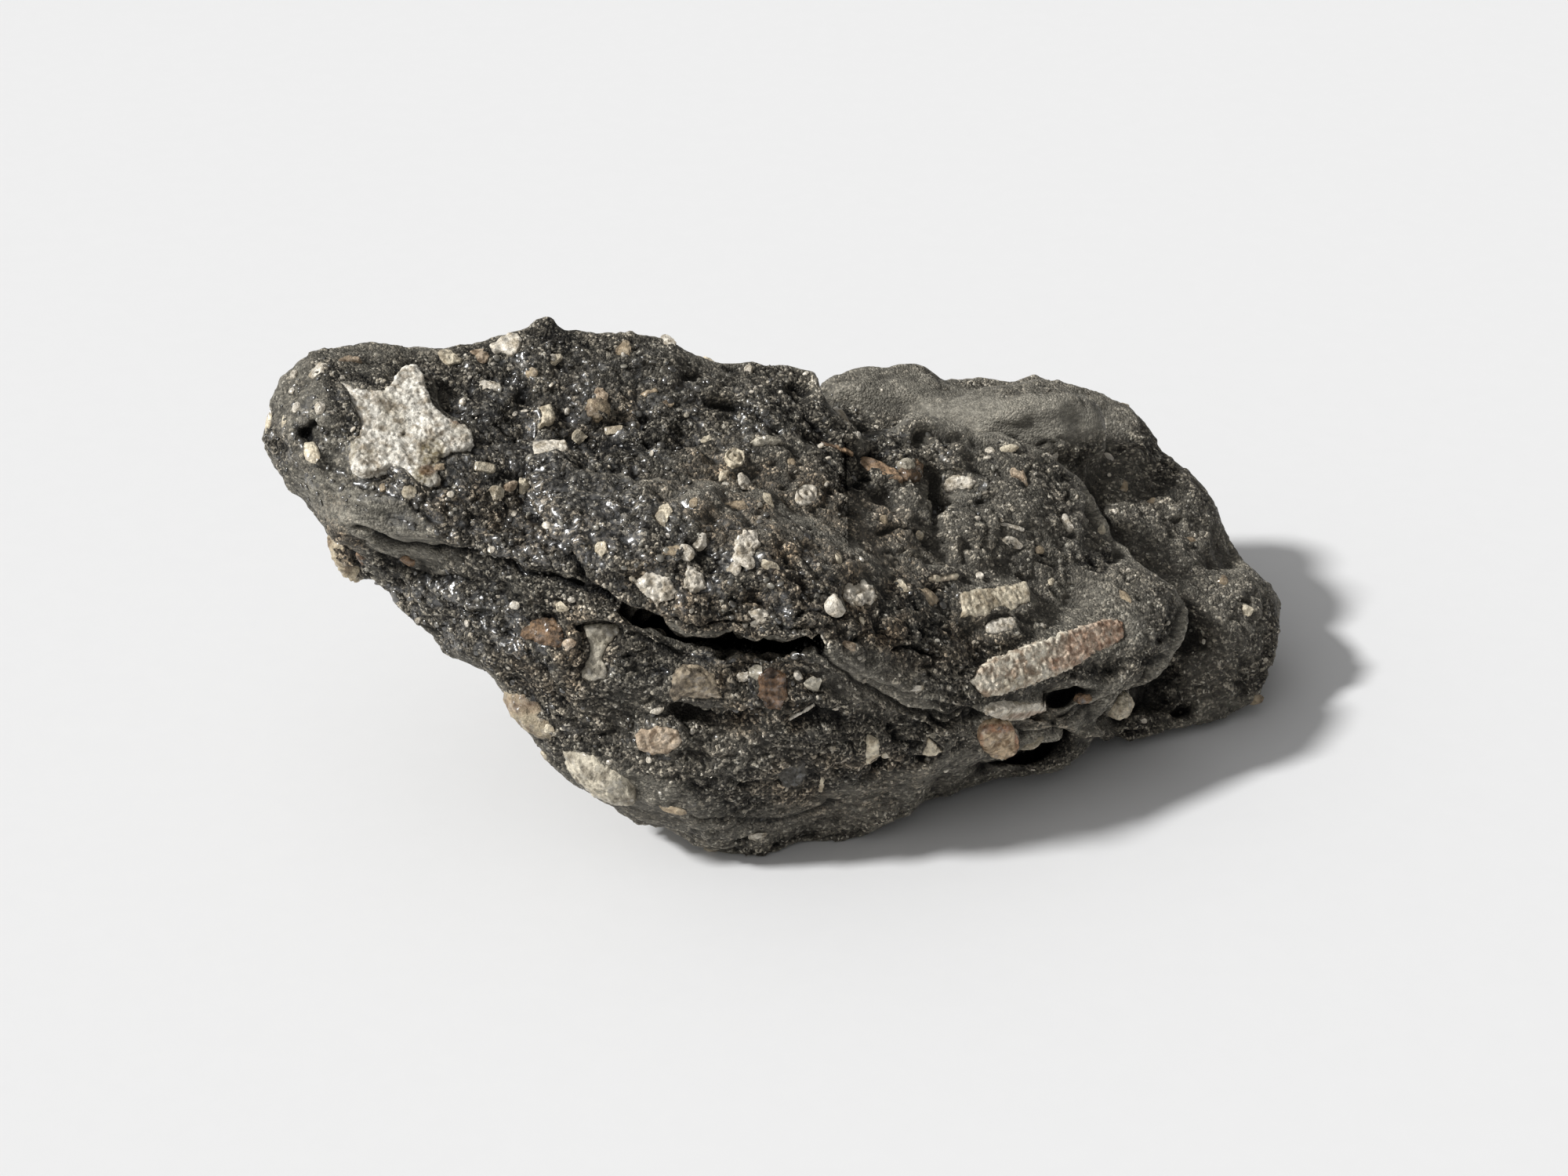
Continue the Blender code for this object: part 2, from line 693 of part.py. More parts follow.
def stem_pieces(face, seats):
    """The long stem fragment and the blocks beside it on the slab's lower right."""
    place = (16.1, 7.0)
    lay(face, seats, "long_stem_fragment", place, LONG_STEM, ROUND_BACK, ROUND_CROWN, CREAM, STEM_DEPTH)
    lay(face, seats, "stem_block", (12.9, 10.5), STEM_BLOCK, LOW_RIM, BLOCK_CROWN, CREAM)
    lay(face, seats, "stem_block_small", (13.3, 8.6), SMALL_BLOCK, FLAT_RIM, FLAT_CROWN, WHITE)
    lay(face, seats, "shell_flake", (14.2, 3.6), FLAKE, FLAT_RIM, FLAT_CROWN, WHITE)
    for name, across, up, length, width, turn, colour in BARS:
        outline = turned(box_outline(length, width), turn)
        lay(face, seats, name, (across, up), outline, FLAT_RIM, FLAT_CROWN, colour)


def chips(face, seats):
    """Broken plates and chips of stem and shell."""
    lay(face, seats, "hourglass_plate", (-10.8, 7.6), HOURGLASS, FLAT_RIM, FLAT_CROWN, GREY_GREEN)
    lay(face, seats, "ridge_flake", (-16.9, 25.9), RIDGE_FLAKE, FLAT_RIM, FLAT_CROWN, WHITE)
    lay(face, seats, "pale_triangle", (8.4, 1.7), TRIANGLE, FLAT_RIM, FLAT_CROWN, CREAM)
    for seed, (name, across, up, length, width, turn, colour) in enumerate(CHIPS):
        outline = turned(chip_outline(length, width, seed), turn)
        lay(face, seats, name, (across, up), outline, LOW_RIM, LOW_CROWN, colour)


def ring_columnals(face, seats):
    """Small round stem sections, dished towards the canal."""
    for name, across, up, width, colour in RINGS:
        outline = round_outline(width, width * RING_FLATTENING)
        lay(face, seats, name, (across, up), outline, DISHED_RIM, DISHED_CROWN, colour)


def add_crack(face, seats):
    """Adds the open crack under the slab, a thin wedge that goes back into the rock."""
    sections = []
    for across, up, half_width, depth in CRACK:
        place, _ = face.hit(across, up)
        front = place - INTO_FACE * ABOVE_FACE * MM
        back = place + INTO_FACE * depth * MM
        open_side = UP_FACE * half_width * MM
        closed_side = open_side * CRACK_TAPER
        sections.append((front - open_side, back - closed_side, back + closed_side, front + open_side))
    add_loft(seats, sections)


def floor_cutter():
    """The surface that the lump rests on, as a slab that cuts its feet flat."""
    mesh = bmesh.new()
    size = Matrix.Diagonal((FLOOR_WIDTH * MM, FLOOR_WIDTH * MM, FLOOR_THICKNESS * MM, 1.0))
    below = Matrix.Translation((0, 0, -FLOOR_THICKNESS / 2 * MM))
    bmesh.ops.create_cube(mesh, size=1.0, matrix=below @ size)
    return new_cutter("floor_cutter", mesh)


def centre(pieces):
    """Parents all pieces to an empty that brings the middle of their box to X = Y = 0."""
    depsgraph = bpy.context.evaluated_depsgraph_get()
    corners = []
    for piece in pieces:
        if not piece.hide_render:
            corners.extend(vert.co.copy() for vert in piece.evaluated_get(depsgraph).data.vertices)
    middle = [(min(c[axis] for c in corners) + max(c[axis] for c in corners)) / 2 for axis in (0, 1)]
    lump = bpy.data.objects.new("lump", None)
    bpy.context.scene.collection.objects.link(lump)
    for piece in pieces:
        piece.parent = lump
    lump.location = (-middle[0], -middle[1], 0.0)


def main():
    clear_scene()
    rock = rock_mass()
    face = Face(rock)
    move_out(rock, crags)
    seats = bmesh.new()
    star_columnal(face, seats)
    stem_pieces(face, seats)
    chips(face, seats)
    ring_columnals(face, seats)
    for name, place, radii, turn, colour in NODULES:
        lay_pebble(seats, name, place, radii, turn, colour)
    add_crack(face, seats)
    thin = rock.modifiers.new("fewer_faces", "DECIMATE")
    thin.ratio = KEEP_SHARE
    add_boolean(rock, "seats", new_cutter("seat_cutters", seats), solver="MANIFOLD")
    add_boolean(rock, "feet", floor_cutter())
    rock.data.materials.append(material("dark_stone", DARK_STONE, ROCK_ROUGHNESS))
    centre(list(bpy.context.scene.objects))


main()
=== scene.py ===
"""Dresses the lump of crinoidal limestone: its rough skin, its fossils, fragments and grains.

Lengths are millimetres in the making, and metres in the finished meshes, materials and strewn grains.
Places on the fossil face are given in pixels of the 2000 x 1500 view from the front, and each is carried
back onto the rock's surface.
"""

import math

import bmesh
import bpy
import numpy as np
from mathutils import Matrix, Vector, noise
from mathutils.bvhtree import BVHTree


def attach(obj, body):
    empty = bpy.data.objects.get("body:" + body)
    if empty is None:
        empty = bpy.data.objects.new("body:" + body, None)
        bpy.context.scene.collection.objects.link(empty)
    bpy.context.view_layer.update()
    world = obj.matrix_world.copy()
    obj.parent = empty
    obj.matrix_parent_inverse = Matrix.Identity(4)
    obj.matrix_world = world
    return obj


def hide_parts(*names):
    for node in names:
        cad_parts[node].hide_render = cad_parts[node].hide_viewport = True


bl_info = {
    "name": "Crinoid Stem Fossil",
    "version": (1, 0, 0),
    "blender": (4, 5, 0),
    "location": "View3D > Sidebar > Fossil",
    "description": "Builds the lump of limestone with its crinoid stem pieces, its grains and its stage",
    "category": "Add Mesh",
}

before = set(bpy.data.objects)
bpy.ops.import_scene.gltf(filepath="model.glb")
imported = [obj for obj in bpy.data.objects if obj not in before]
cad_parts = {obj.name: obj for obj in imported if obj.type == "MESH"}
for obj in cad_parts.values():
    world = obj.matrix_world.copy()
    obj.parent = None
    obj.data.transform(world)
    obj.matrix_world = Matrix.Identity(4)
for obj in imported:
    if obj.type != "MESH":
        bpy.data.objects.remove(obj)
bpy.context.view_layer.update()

MM = 0.001
PHOTO_WIDTH = 2000
PHOTO_HEIGHT = 1500
LENS = 70.0
SENSOR = 36.0
VIEW_RISE = math.radians(30.0)
VIEW_DISTANCE = 195.0
VIEW_TARGET = Vector((-0.8183, -1.6573, 10.0))
TO_LIGHT = Vector((-0.71, -0.22, 0.67))

RIGHT = Vector((1.0, 0.0, 0.0))
UP = Vector((0.0, math.sin(VIEW_RISE), math.cos(VIEW_RISE)))
FORWARD = Vector((0.0, math.cos(VIEW_RISE), -math.sin(VIEW_RISE)))
EYE = VIEW_TARGET - FORWARD * VIEW_DISTANCE
FOCAL = LENS / SENSOR * PHOTO_WIDTH

# The rock's bedding, the start of its noise, and the planes that cut its skin into blocks
BED_TURN = math.radians(22.0)
BED_STRETCH = 2.0
NOISE_SEED = 8
WHOLE_SKIN = "whole_skin"
SKIN_CUTS = (-12.5, 3.0, 15.0)
# How far the blocks' caps lie under the surface, and the lowest point of a piece and, in metres, of a grain
CAP_DEPTH = 0.5
LOWEST = 0.02
LOWEST_GRAIN = 0.00001
# How far a fossil's copy is swollen and sunk to fill the gap around it, and how deep a plate reaches
PLUG_SWELL = 0.42
PLUG_SINK = 0.45
PLATE_DEPTH = 0.8
PER_SQUARE_MM = 1e6
# Steps of averaging: the caps' rims, the solid's facets, and what small cavities and broad hollows are told from
CAP_STEPS = 12
FACET_STEPS = 14
CAVITY_STEPS = 20
DEEP_STEPS = 90
# How wide the two lights are, in degrees, and half of a side of the floor in metres
KEY_ANGLE = 7.0
SOFT_ANGLE = 120.0
FLOOR_SIZE = 3.0

# Fine cracks and dark seams of the face: line of pixels, half width and depth
SEAMS = (
    (((440, 668), (480, 686), (520, 694), (560, 700), (600, 705), (650, 722), (700, 738), (760, 758),
        (806, 780)), 0.2, 0.65),
    (((806, 780), (840, 797), (860, 807)), 0.18, 1.3),
    (((856, 806), (880, 816), (920, 823), (980, 826), (1042, 819)), 0.27, 3.0),
    (((1040, 816), (1062, 850), (1090, 870), (1120, 886), (1160, 907), (1200, 925), (1262, 918)), 0.18, 0.8),
    (((1118, 887), (1156, 910), (1194, 914), (1263, 914), (1300, 926)), 0.16, 0.6),
    (((850, 790), (900, 800), (960, 797), (1010, 800), (1050, 806)), 0.12, 0.4),
    (((1000, 790), (1040, 780), (1080, 790)), 0.14, 0.35),
    (((1110, 680), (1150, 672), (1185, 678)), 0.14, 0.5),
    (((1130, 832), (1160, 828), (1205, 838)), 0.14, 0.5),
    (((1385, 590), (1400, 630), (1425, 680), (1440, 715)), 0.5, 0.8),
    (((700, 562), (745, 552), (800, 560), (850, 556), (905, 566)), 0.22, 0.5),
    (((790, 610), (850, 602), (900, 616)), 0.18, 0.4),
    (((1030, 700), (1060, 716), (1090, 712)), 0.14, 0.4),
    (((1175, 590), (1195, 620), (1200, 650), (1190, 680)), 0.35, 0.7),
    (((1240, 640), (1262, 668), (1255, 700)), 0.2, 0.4),
    (((1260, 918), (1300, 912), (1340, 916), (1390, 902), (1440, 880)), 0.25, 0.9),
    (((430, 600), (470, 625), (520, 640), (560, 668)), 0.14, 0.25),
    (((440, 640), (490, 655), (540, 672)), 0.14, 0.2),
    (((860, 1040), (920, 1052), (1000, 1046), (1080, 1020)), 0.14, 0.25),
    (((940, 1080), (952, 1072), (962, 1060)), 0.25, 0.5),
)
# Ledges: line of pixels, height and reach. The side on the left of the line's way stands proud
LEDGES = (
    (((845, 796), (787, 768), (750, 736), (735, 709), (703, 680), (684, 650), (672, 612), (680, 580)), -0.7,
        3.0),
    (((1049, 811), (1080, 848), (1118, 868), (1194, 899), (1256, 909)), 0.25, 1.6),
    (((800, 800), (860, 830), (940, 842), (1020, 832), (1060, 860), (1120, 900), (1200, 936)), 0.35, 1.8),
    (((1240, 908), (1290, 925), (1345, 926), (1400, 900), (1440, 868), (1478, 820)), 0.5, 1.4),
    (((1290, 926), (1340, 948), (1400, 934), (1470, 930)), 0.5, 1.2),
    (((415, 650), (470, 700), (540, 730), (620, 742)), 0.2, 2.2),
    (((1020, 520), (1060, 556), (1120, 584), (1170, 610)), 0.4, 1.6),
    (((560, 760), (640, 790), (700, 850), (720, 900)), 0.35, 2.0),
    (((830, 880), (870, 905), (930, 905), (1000, 890), (1060, 905)), 0.4, 1.2),
    (((900, 500), (960, 520), (1010, 560), (1030, 600)), 0.4, 1.4),
)
# Hollows as the front view shows them, raised where the depth is negative: pixel, half width, half height,
# turn in degrees and depth
HOLLOWS = (
    (386, 552, 11, 7, 30, 0.6), (397, 543, 8, 6, -20, 0.45), (392, 560, 6, 4, 0, 0.3),
    (748, 562, 46, 7, -4, 0.8), (840, 566, 34, 7, 0, 0.6), (868, 632, 30, 8, 14, 0.8),
    (820, 536, 14, 10, 0, 0.7), (912, 512, 34, 10, 14, 0.7), (1022, 496, 18, 16, 40, 0.9),
    (1100, 602, 13, 22, -40, 0.9), (1136, 632, 22, 12, 30, 0.8), (1082, 650, 16, 10, 0, 0.5),
    (1200, 632, 12, 26, 10, 0.8), (1188, 690, 12, 10, 0, 0.5), (1178, 560, 12, 14, 0, 0.6),
    (672, 500, 12, 12, 0, 0.6), (885, 478, 14, 12, 0, 0.6), (960, 668, 16, 8, 0, 0.5),
    (828, 790, 18, 10, 30, 1.2), (884, 908, 30, 12, 6, 0.9), (1040, 916, 34, 13, 0, 0.9),
    (1120, 976, 13, 10, 0, 0.9), (1180, 966, 12, 9, 0, 0.6), (1364, 890, 30, 10, -8, 1.6),
    (1338, 950, 38, 17, -12, 2.4), (1292, 966, 20, 12, 0, 1.6), (1256, 978, 20, 8, -15, 1.2),
    (1276, 928, 30, 7, 0, 1.2), (1440, 904, 24, 12, -30, 1.4), (1404, 640, 16, 60, 10, 0.9),
    (1410, 712, 22, 14, -20, 0.7), (1478, 872, 28, 36, 20, 1.1), (1510, 800, 30, 40, 10, 1.0),
    (1510, 908, 15, 12, 0, 1.3), (1560, 700, 24, 30, 0, 0.8), (1590, 860, 16, 30, 0, 0.6),
    (1236, 700, 12, 12, 0, 0.5), (950, 1076, 8, 6, 0, 0.5), (1380, 936, 60, 7, -4, -0.45),
    (1300, 520, 90, 16, -4, -0.4), (1230, 560, 60, 8, 10, 0.6), (1270, 600, 40, 8, 0, 0.5),
    (540, 745, 70, 14, 24, -0.35), (1120, 498, 50, 14, 0, -0.4), (700, 408, 26, 12, 0, -0.5),
)
# Marked areas as seen from the front: pixel, half width, half height, turn in degrees and strength. The last
# two are stains on the fossils, brownish olive and red-brown
AREAS = {
    "worn": (
        (370, 500, 46, 80, -30, 0.7), (470, 660, 120, 34, 28, 0.9), (430, 600, 60, 40, 30, 0.6),
        (480, 440, 110, 20, -2, 0.6), (820, 1020, 120, 34, 20, 0.6), (1080, 1030, 200, 26, -14, 0.5),
        (1290, 530, 140, 30, 4, 0.9), (1120, 490, 80, 34, 0, 0.7), (1360, 905, 130, 34, -12, 0.7),
        (1120, 872, 90, 14, 28, 0.45), (1400, 790, 60, 60, -20, 0.5), (1560, 920, 80, 34, -10, 0.5),
        (1250, 975, 120, 20, -14, 0.6), (1400, 520, 60, 40, 20, 0.5),
    ),
    "damp": (
        (640, 620, 220, 110, 10, 1.0), (610, 800, 120, 60, 30, 0.9), (520, 740, 90, 30, 24, 0.8),
        (820, 520, 260, 80, 6, 0.8), (900, 700, 220, 90, 16, 0.9), (1090, 830, 130, 60, 20, 1.0),
        (980, 870, 150, 50, 10, 0.8), (1180, 600, 120, 60, 20, 0.6), (780, 900, 150, 70, 20, 0.6),
        (430, 560, 90, 90, 0, 0.6), (1150, 760, 120, 50, 10, 0.6),
    ),
    # Pale, dusty rock, and on the right side, turned from the light, also painted light
    "pale": (
        (1290, 520, 170, 70, 4, 1.2), (1420, 660, 60, 90, 0, 1.3), (1530, 760, 90, 140, 0, 1.2),
        (1120, 495, 90, 36, 0, 0.6), (1330, 740, 120, 70, -20, 1.0), (1240, 650, 120, 90, 0, 1.1),
        (1190, 1040, 170, 10, -16, 0.5), (1130, 680, 130, 60, 0, 1.2), (940, 620, 120, 80, 0, 0.9),
        (1120, 870, 80, 40, 20, 1.4), (880, 930, 130, 60, 10, 0.5), (830, 480, 160, 50, 0, 0.5),
    ),
    # Painted shade: shadowed hollows, pockets, valleys and the crack, darkened in the rock's colour
    "dark": (
        (714, 430, 26, 20, 0, 1.2), (1400, 712, 26, 15, -20, 1.3), (1478, 872, 30, 38, 20, 1.3),
        (1510, 800, 30, 40, 10, 0.8), (1510, 908, 18, 14, 0, 1.2), (1334, 954, 46, 19, -12, 1.5),
        (1262, 976, 30, 11, -15, 1.4), (1364, 890, 32, 11, -8, 1.4), (1440, 904, 26, 14, -30, 1.3),
        (820, 560, 130, 16, 0, 0.6), (392, 550, 22, 16, 0, 0.9), (950, 826, 110, 10, 4, 0.8),
        (1000, 905, 110, 20, 4, 0.6),
    ),
    "warm": (
        (1010, 660, 170, 70, 20, 1.0), (900, 780, 140, 40, 10, 0.8), (1120, 770, 150, 60, 20, 0.8),
        (640, 650, 120, 50, 20, 0.5), (980, 880, 70, 60, 0, 1.0), (430, 690, 30, 60, -10, 1.0),
        (840, 760, 60, 50, 0, 0.7), (700, 830, 70, 60, 0, 0.7), (1080, 1000, 120, 40, -10, 0.5),
        (760, 520, 60, 40, 0, 0.6), (1320, 930, 60, 30, 0, 0.7),
    ),
    "olive": (
        (550, 578, 18, 20, 20, 1.0), (540, 606, 16, 12, 0, 1.0), (498, 520, 30, 12, 60, 0.5),
        (470, 575, 14, 10, 0, 0.4), (448, 565, 10, 26, 10, 0.7), (590, 545, 16, 12, 0, 0.45),
        (500, 540, 16, 12, 0, 0.4), (1270, 770, 16, 10, 0, 0.2), (890, 868, 20, 12, 0, 0.5),
        (770, 810, 16, 14, 0, 0.4), (1300, 868, 30, 10, -28, 0.4),
    ),
    "rusty": (
        (1396, 818, 52, 26, -26, 0.85), (1352, 846, 15, 9, -20, 1.0), (1428, 800, 12, 16, 0, 1.0),
        (1310, 912, 30, 4, -6, 0.6), (545, 600, 11, 7, 0, 0.8), (586, 536, 12, 5, 0, 0.6),
        (1272, 929, 26, 6, 0, 1.0), (1300, 946, 6, 20, 0, 1.0), (1250, 950, 5, 18, 0, 0.8),
        (668, 898, 30, 14, 0, 0.5), (985, 880, 24, 40, 0, 0.5), (1210, 738, 10, 6, 0, 0.3),
    ),
}

# Outlines of the flat fossils in the front view, after their finish and roughness
OUTLINES = {
    "star_columnal": ("star", 0.085, ((436, 488), (444, 488), (460, 497), (474, 496), (487, 500), (500, 488),
        (511, 470), (521, 463), (532, 465), (541, 477), (545, 496), (551, 512), (564, 527), (580, 537),
        (592, 540), (602, 553), (603, 564), (595, 572), (580, 575), (563, 581), (559, 596), (563, 609),
        (557, 617), (544, 621), (531, 616), (522, 606), (514, 597), (500, 594), (484, 598), (466, 601),
        (451, 592), (446, 577), (449, 564), (458, 553), (460, 538), (453, 524), (446, 508))),
    "stem_block": ("cream", 0.05, ((1227, 755), (1240, 752), (1268, 749), (1290, 745), (1309, 741),
        (1313, 744), (1316, 767), (1302, 771), (1293, 779), (1282, 773), (1272, 774), (1258, 786),
        (1240, 784), (1228, 785), (1230, 770))),
    "stem_block_small": ("white", 0.04, ((1256, 797), (1268, 789), (1289, 785), (1297, 791), (1298, 800),
        (1288, 804), (1271, 808), (1259, 806))),
    "rod_fragment": ("cream", 0.03, ((1183, 736), (1194, 732), (1204, 735), (1221, 730), (1225, 734),
        (1222, 740), (1206, 742), (1185, 743))),
    "long_stem_fragment": ("stem", 0.07, ((1238, 868), (1250, 854), (1268, 842), (1292, 833), (1316, 821),
        (1340, 816), (1356, 807), (1380, 799), (1404, 793), (1424, 789), (1433, 793), (1435, 812),
        (1426, 821), (1408, 829), (1380, 845), (1356, 859), (1324, 870), (1300, 881), (1276, 887),
        (1260, 889), (1247, 880))),
    "shell_flake": ("white", 0.02, ((1258, 913), (1276, 906), (1300, 902), (1324, 897), (1335, 896),
        (1337, 908), (1320, 912), (1304, 920), (1288, 921), (1270, 917))),
    "upper_bar": ("white", 0.035, ((678, 562), (700, 560), (721, 559), (726, 572), (710, 578), (682, 581),
        (680, 571))),
    "right_bar": ("white", 0.045, ((1206, 610), (1220, 604), (1246, 612), (1240, 624), (1222, 622),
        (1208, 628), (1202, 620))),
    "hourglass_plate": ("green", 0.03, ((743, 799), (765, 796), (788, 798), (791, 805), (771, 829),
        (768, 840), (776, 857), (772, 866), (751, 869), (741, 864), (744, 851), (752, 837), (753, 824))),
    "ridge_flake": ("white", 0.04, ((624, 440), (634, 432), (646, 424), (660, 423), (666, 432), (662, 446),
        (654, 452), (640, 446), (630, 448))),
    "white_chip_left": ("white", 0.1, ((802, 736), (815, 741), (821, 730), (836, 732), (851, 738), (861, 752),
        (859, 766), (842, 768), (838, 776), (828, 763), (818, 756), (811, 748))),
    "white_chip_middle": ("white", 0.08, ((871, 750), (875, 735), (878, 719), (889, 725), (899, 735),
        (901, 751), (890, 756), (879, 753))),
    "white_chip_upper": ("white", 0.1, ((943, 681), (955, 674), (967, 680), (971, 695), (961, 709),
        (945, 706), (935, 695))),
    "white_chip_right": ("white", 0.1, ((1079, 745), (1086, 741), (1091, 748), (1101, 737), (1113, 748),
        (1120, 760), (1112, 771), (1090, 771), (1077, 760))),
    "pale_chip_over_crack": ("cream", 0.06, ((757, 694), (771, 687), (775, 700), (768, 712), (758, 706))),
    "cream_chip": ("cream", 0.04, ((687, 518), (704, 513), (709, 527), (708, 539), (690, 540), (692, 528))),
    "grey_plate": ("grey", 0.05, ((858, 866), (870, 857), (892, 859), (912, 865), (920, 890), (897, 893),
        (875, 890), (859, 896), (855, 886))),
    "brown_plate": ("brown", 0.05, ((968, 861), (985, 853), (1003, 860), (1005, 887), (996, 907), (979, 904),
        (967, 887))),
    "pink_lens": ("pink", 0.06, ((811, 942), (820, 934), (842, 927), (865, 931), (871, 948), (853, 962),
        (831, 964), (815, 957))),
    "pale_triangle": ("cream", 0.03, ((1184, 942), (1192, 948), (1204, 960), (1190, 966), (1176, 964),
        (1182, 954))),
    "pale_chip_low": ("cream", 0.04, ((1108, 943), (1123, 947), (1121, 966), (1106, 977), (1104, 960))),
}
# Plates that are in the face but are no nodes, in the same terms
LOOSE_PLATES = {
    "shell_edge": ("shell", 0.03, ((1086, 578), (1112, 584), (1142, 597), (1154, 611), (1132, 611),
        (1106, 601), (1090, 591))),
    "shell_line": ("shell", 0.02, ((1046, 563), (1068, 567), (1090, 577), (1088, 583), (1064, 573),
        (1048, 569))),
    "oval_shell": ("green", 0.02, ((957, 563), (966, 556), (982, 554), (996, 559), (999, 564), (986, 568),
        (966, 568))),
    "nose_shell": ("pink", 0.03, ((424, 466), (432, 457), (446, 452), (458, 455), (464, 462), (452, 460),
        (438, 463))),
    "ridge_bead": ("pink", 0.03, ((596, 452), (602, 445), (616, 443), (628, 447), (624, 455), (608, 456))),
    "tan_rod": ("tan", 0.03, ((806, 511), (818, 500), (836, 494), (841, 499), (826, 506), (812, 515))),
    "pink_rod": ("white", 0.03, ((1061, 522), (1067, 517), (1076, 524), (1082, 535), (1088, 544), (1082, 548),
        (1074, 540), (1068, 530))),
    "bead_block": ("cream", 0.03, ((917, 600), (930, 598), (931, 612), (918, 613))),
    "frost_left": ("white", 0.06, ((930, 862), (938, 852), (950, 850), (962, 858), (958, 868), (944, 872),
        (934, 872))),
    "frost_right": ("white", 0.06, ((1010, 848), (1020, 852), (1026, 866), (1018, 872), (1010, 862))),
    "pale_stroke": ("white", 0.03, ((1002, 915), (1020, 906), (1038, 894), (1046, 892), (1040, 902),
        (1022, 912), (1006, 920))),
    "over_crack_chip": ("white", 0.07, ((953, 781), (969, 778), (982, 785), (981, 800), (966, 808),
        (955, 801))),
    "low_bead": ("dark", 0.08, ((988, 985), (996, 968), (1012, 964), (1028, 972), (1032, 988), (1020, 1002),
        (1000, 1004))),
    "keel_splinter": ("cream", 0.03, ((1042, 1010), (1046, 990), (1052, 982), (1053, 996), (1048, 1012))),
}
# Round sections of stem, lying flat: finish, roughness, middle, half width, half height and turn in degrees
ROUNDS = {
    "ring_columnal": ("white", 0.02, 1029, 630, 15, 13, -24),
    "ring_columnal_small": ("cream", 0.03, 938, 582, 12.5, 11.5, 10),
    "pocket_ossicle": ("ossicle", 0.03, 1275, 947, 26, 22, 10),
}
# Rounded fossils that keep their node's place: finish, roughness, share of the swell, stretch and its turn in
# degrees
ROUNDED = {
    "tan_chip": ("tan", 0.05, 1.0, 1.0, 0),
    "brown_chip": ("rust", 0.06, 1.0, 1.0, 0),
    "brown_crystal": ("brown", 0.06, 1.0, 1.0, 0),
    "keel_nodule_upper": ("nodule", 0.05, 2.2, 1.2, 38),
    "keel_nodule_lower": ("cloudy", 0.05, 2.0, 1.4, 46),
    "edge_nodule": ("nodule", 0.08, 1.0, 1.0, 0),
    "pale_knob": ("cream", 0.06, 1.0, 1.0, 0),
}
# Small fragments of the face by their finish: pixel, width and height, then the turn in degrees where there is
# one, and the kind where it isn't a chip
FRAGMENTS = {
    "white": (
        (873, 707, 24, 24), (893, 691, 24, 22, 20), (950, 714, 30, 26, 10), (937, 726, 20, 18),
        (1066, 772, 28, 26), (947, 614, 20, 20), (854, 437, 16, 26, 20), (624, 493, 26, 18),
        (408, 472, 30, 16, 40), (375, 478, 12, 12, 0, "bead"), (408, 521, 16, 15, 0, "bead"),
        (378, 520, 13, 13, 0, "bead"), (371, 500, 10, 10), (955, 472, 12, 14), (1263, 576, 13, 14),
        (1340, 582, 18, 16), (1412, 584, 18, 12, -30), (1363, 668, 14, 25, 20), (1290, 691, 32, 14, -10),
        (1290, 672, 36, 5, -3, "bar"), (1168, 878, 20, 8, 0, "bar"), (966, 1066, 24, 12),
        (838, 906, 18, 10, 30), (656, 772, 14, 12), (456, 738, 9, 9), (590, 513, 10, 10, 0, "bead"),
    ),
    "cream": (
        (980, 723, 28, 18, -20), (843, 660, 18, 26, -10), (848, 655, 22, 24, 20),
        (980, 641, 10, 24, 14, "bar"), (740, 557, 20, 18), (783, 549, 24, 11, 8, "bar"),
        (574, 456, 27, 22, 10), (707, 460, 24, 14, 14), (618, 597, 27, 12, 0, "bar"), (633, 630, 20, 22, -20),
        (668, 620, 20, 22, 20), (522, 628, 20, 18, 0, "bead"), (343, 542, 12, 26), (362, 537, 10, 14),
        (398, 578, 18, 30, 20), (1289, 572, 26, 10), (1405, 676, 12, 14), (1173, 684, 14, 12),
        (1150, 748, 20, 16), (1070, 712, 12, 12), (1100, 792, 9, 13), (1131, 962, 16, 10), (716, 774, 18, 14),
        (700, 930, 16, 12, -30), (900, 560, 14, 12), (1340, 742, 12, 10), (1246, 764, 14, 10),
        (1590, 780, 16, 20),
    ),
    "tan": (
        (858, 702, 26, 14, 10), (941, 648, 36, 18, 14), (797, 446, 22, 22), (678, 476, 16, 14),
        (1432, 620, 14, 16), (1434, 760, 12, 20, 20), (1183, 762, 34, 20, 10), (858, 1033, 34, 10, -8),
        (560, 596, 14, 12), (488, 622, 10, 12, 0, "bead"), (850, 516, 18, 14), (884, 640, 12, 14),
        (1010, 590, 12, 10), (1128, 662, 12, 12), (1326, 700, 14, 12), (1520, 690, 20, 12),
        (1470, 640, 18, 12, -30), (1560, 740, 14, 14), (1600, 890, 24, 16),
    ),
    "pink": (
        (767, 504, 18, 24), (615, 457, 20, 18, 0, "bead"), (650, 622, 24, 12, 30), (1302, 608, 30, 17, -35),
        (1085, 824, 24, 10, -20), (726, 822, 18, 14),
    ),
    "rust": (
        (676, 806, 26, 20), (460, 712, 14, 18), (520, 716, 20, 14), (1381, 891, 24, 14, 0, "bead"),
    ),
    "green": (
        (1156, 594, 24, 20, 0, "bead"), (1037, 872, 22, 22), (966, 858, 22, 20),
    ),
    "dark": (
        (749, 532, 16, 18, 0, "bead"),
    ),
}

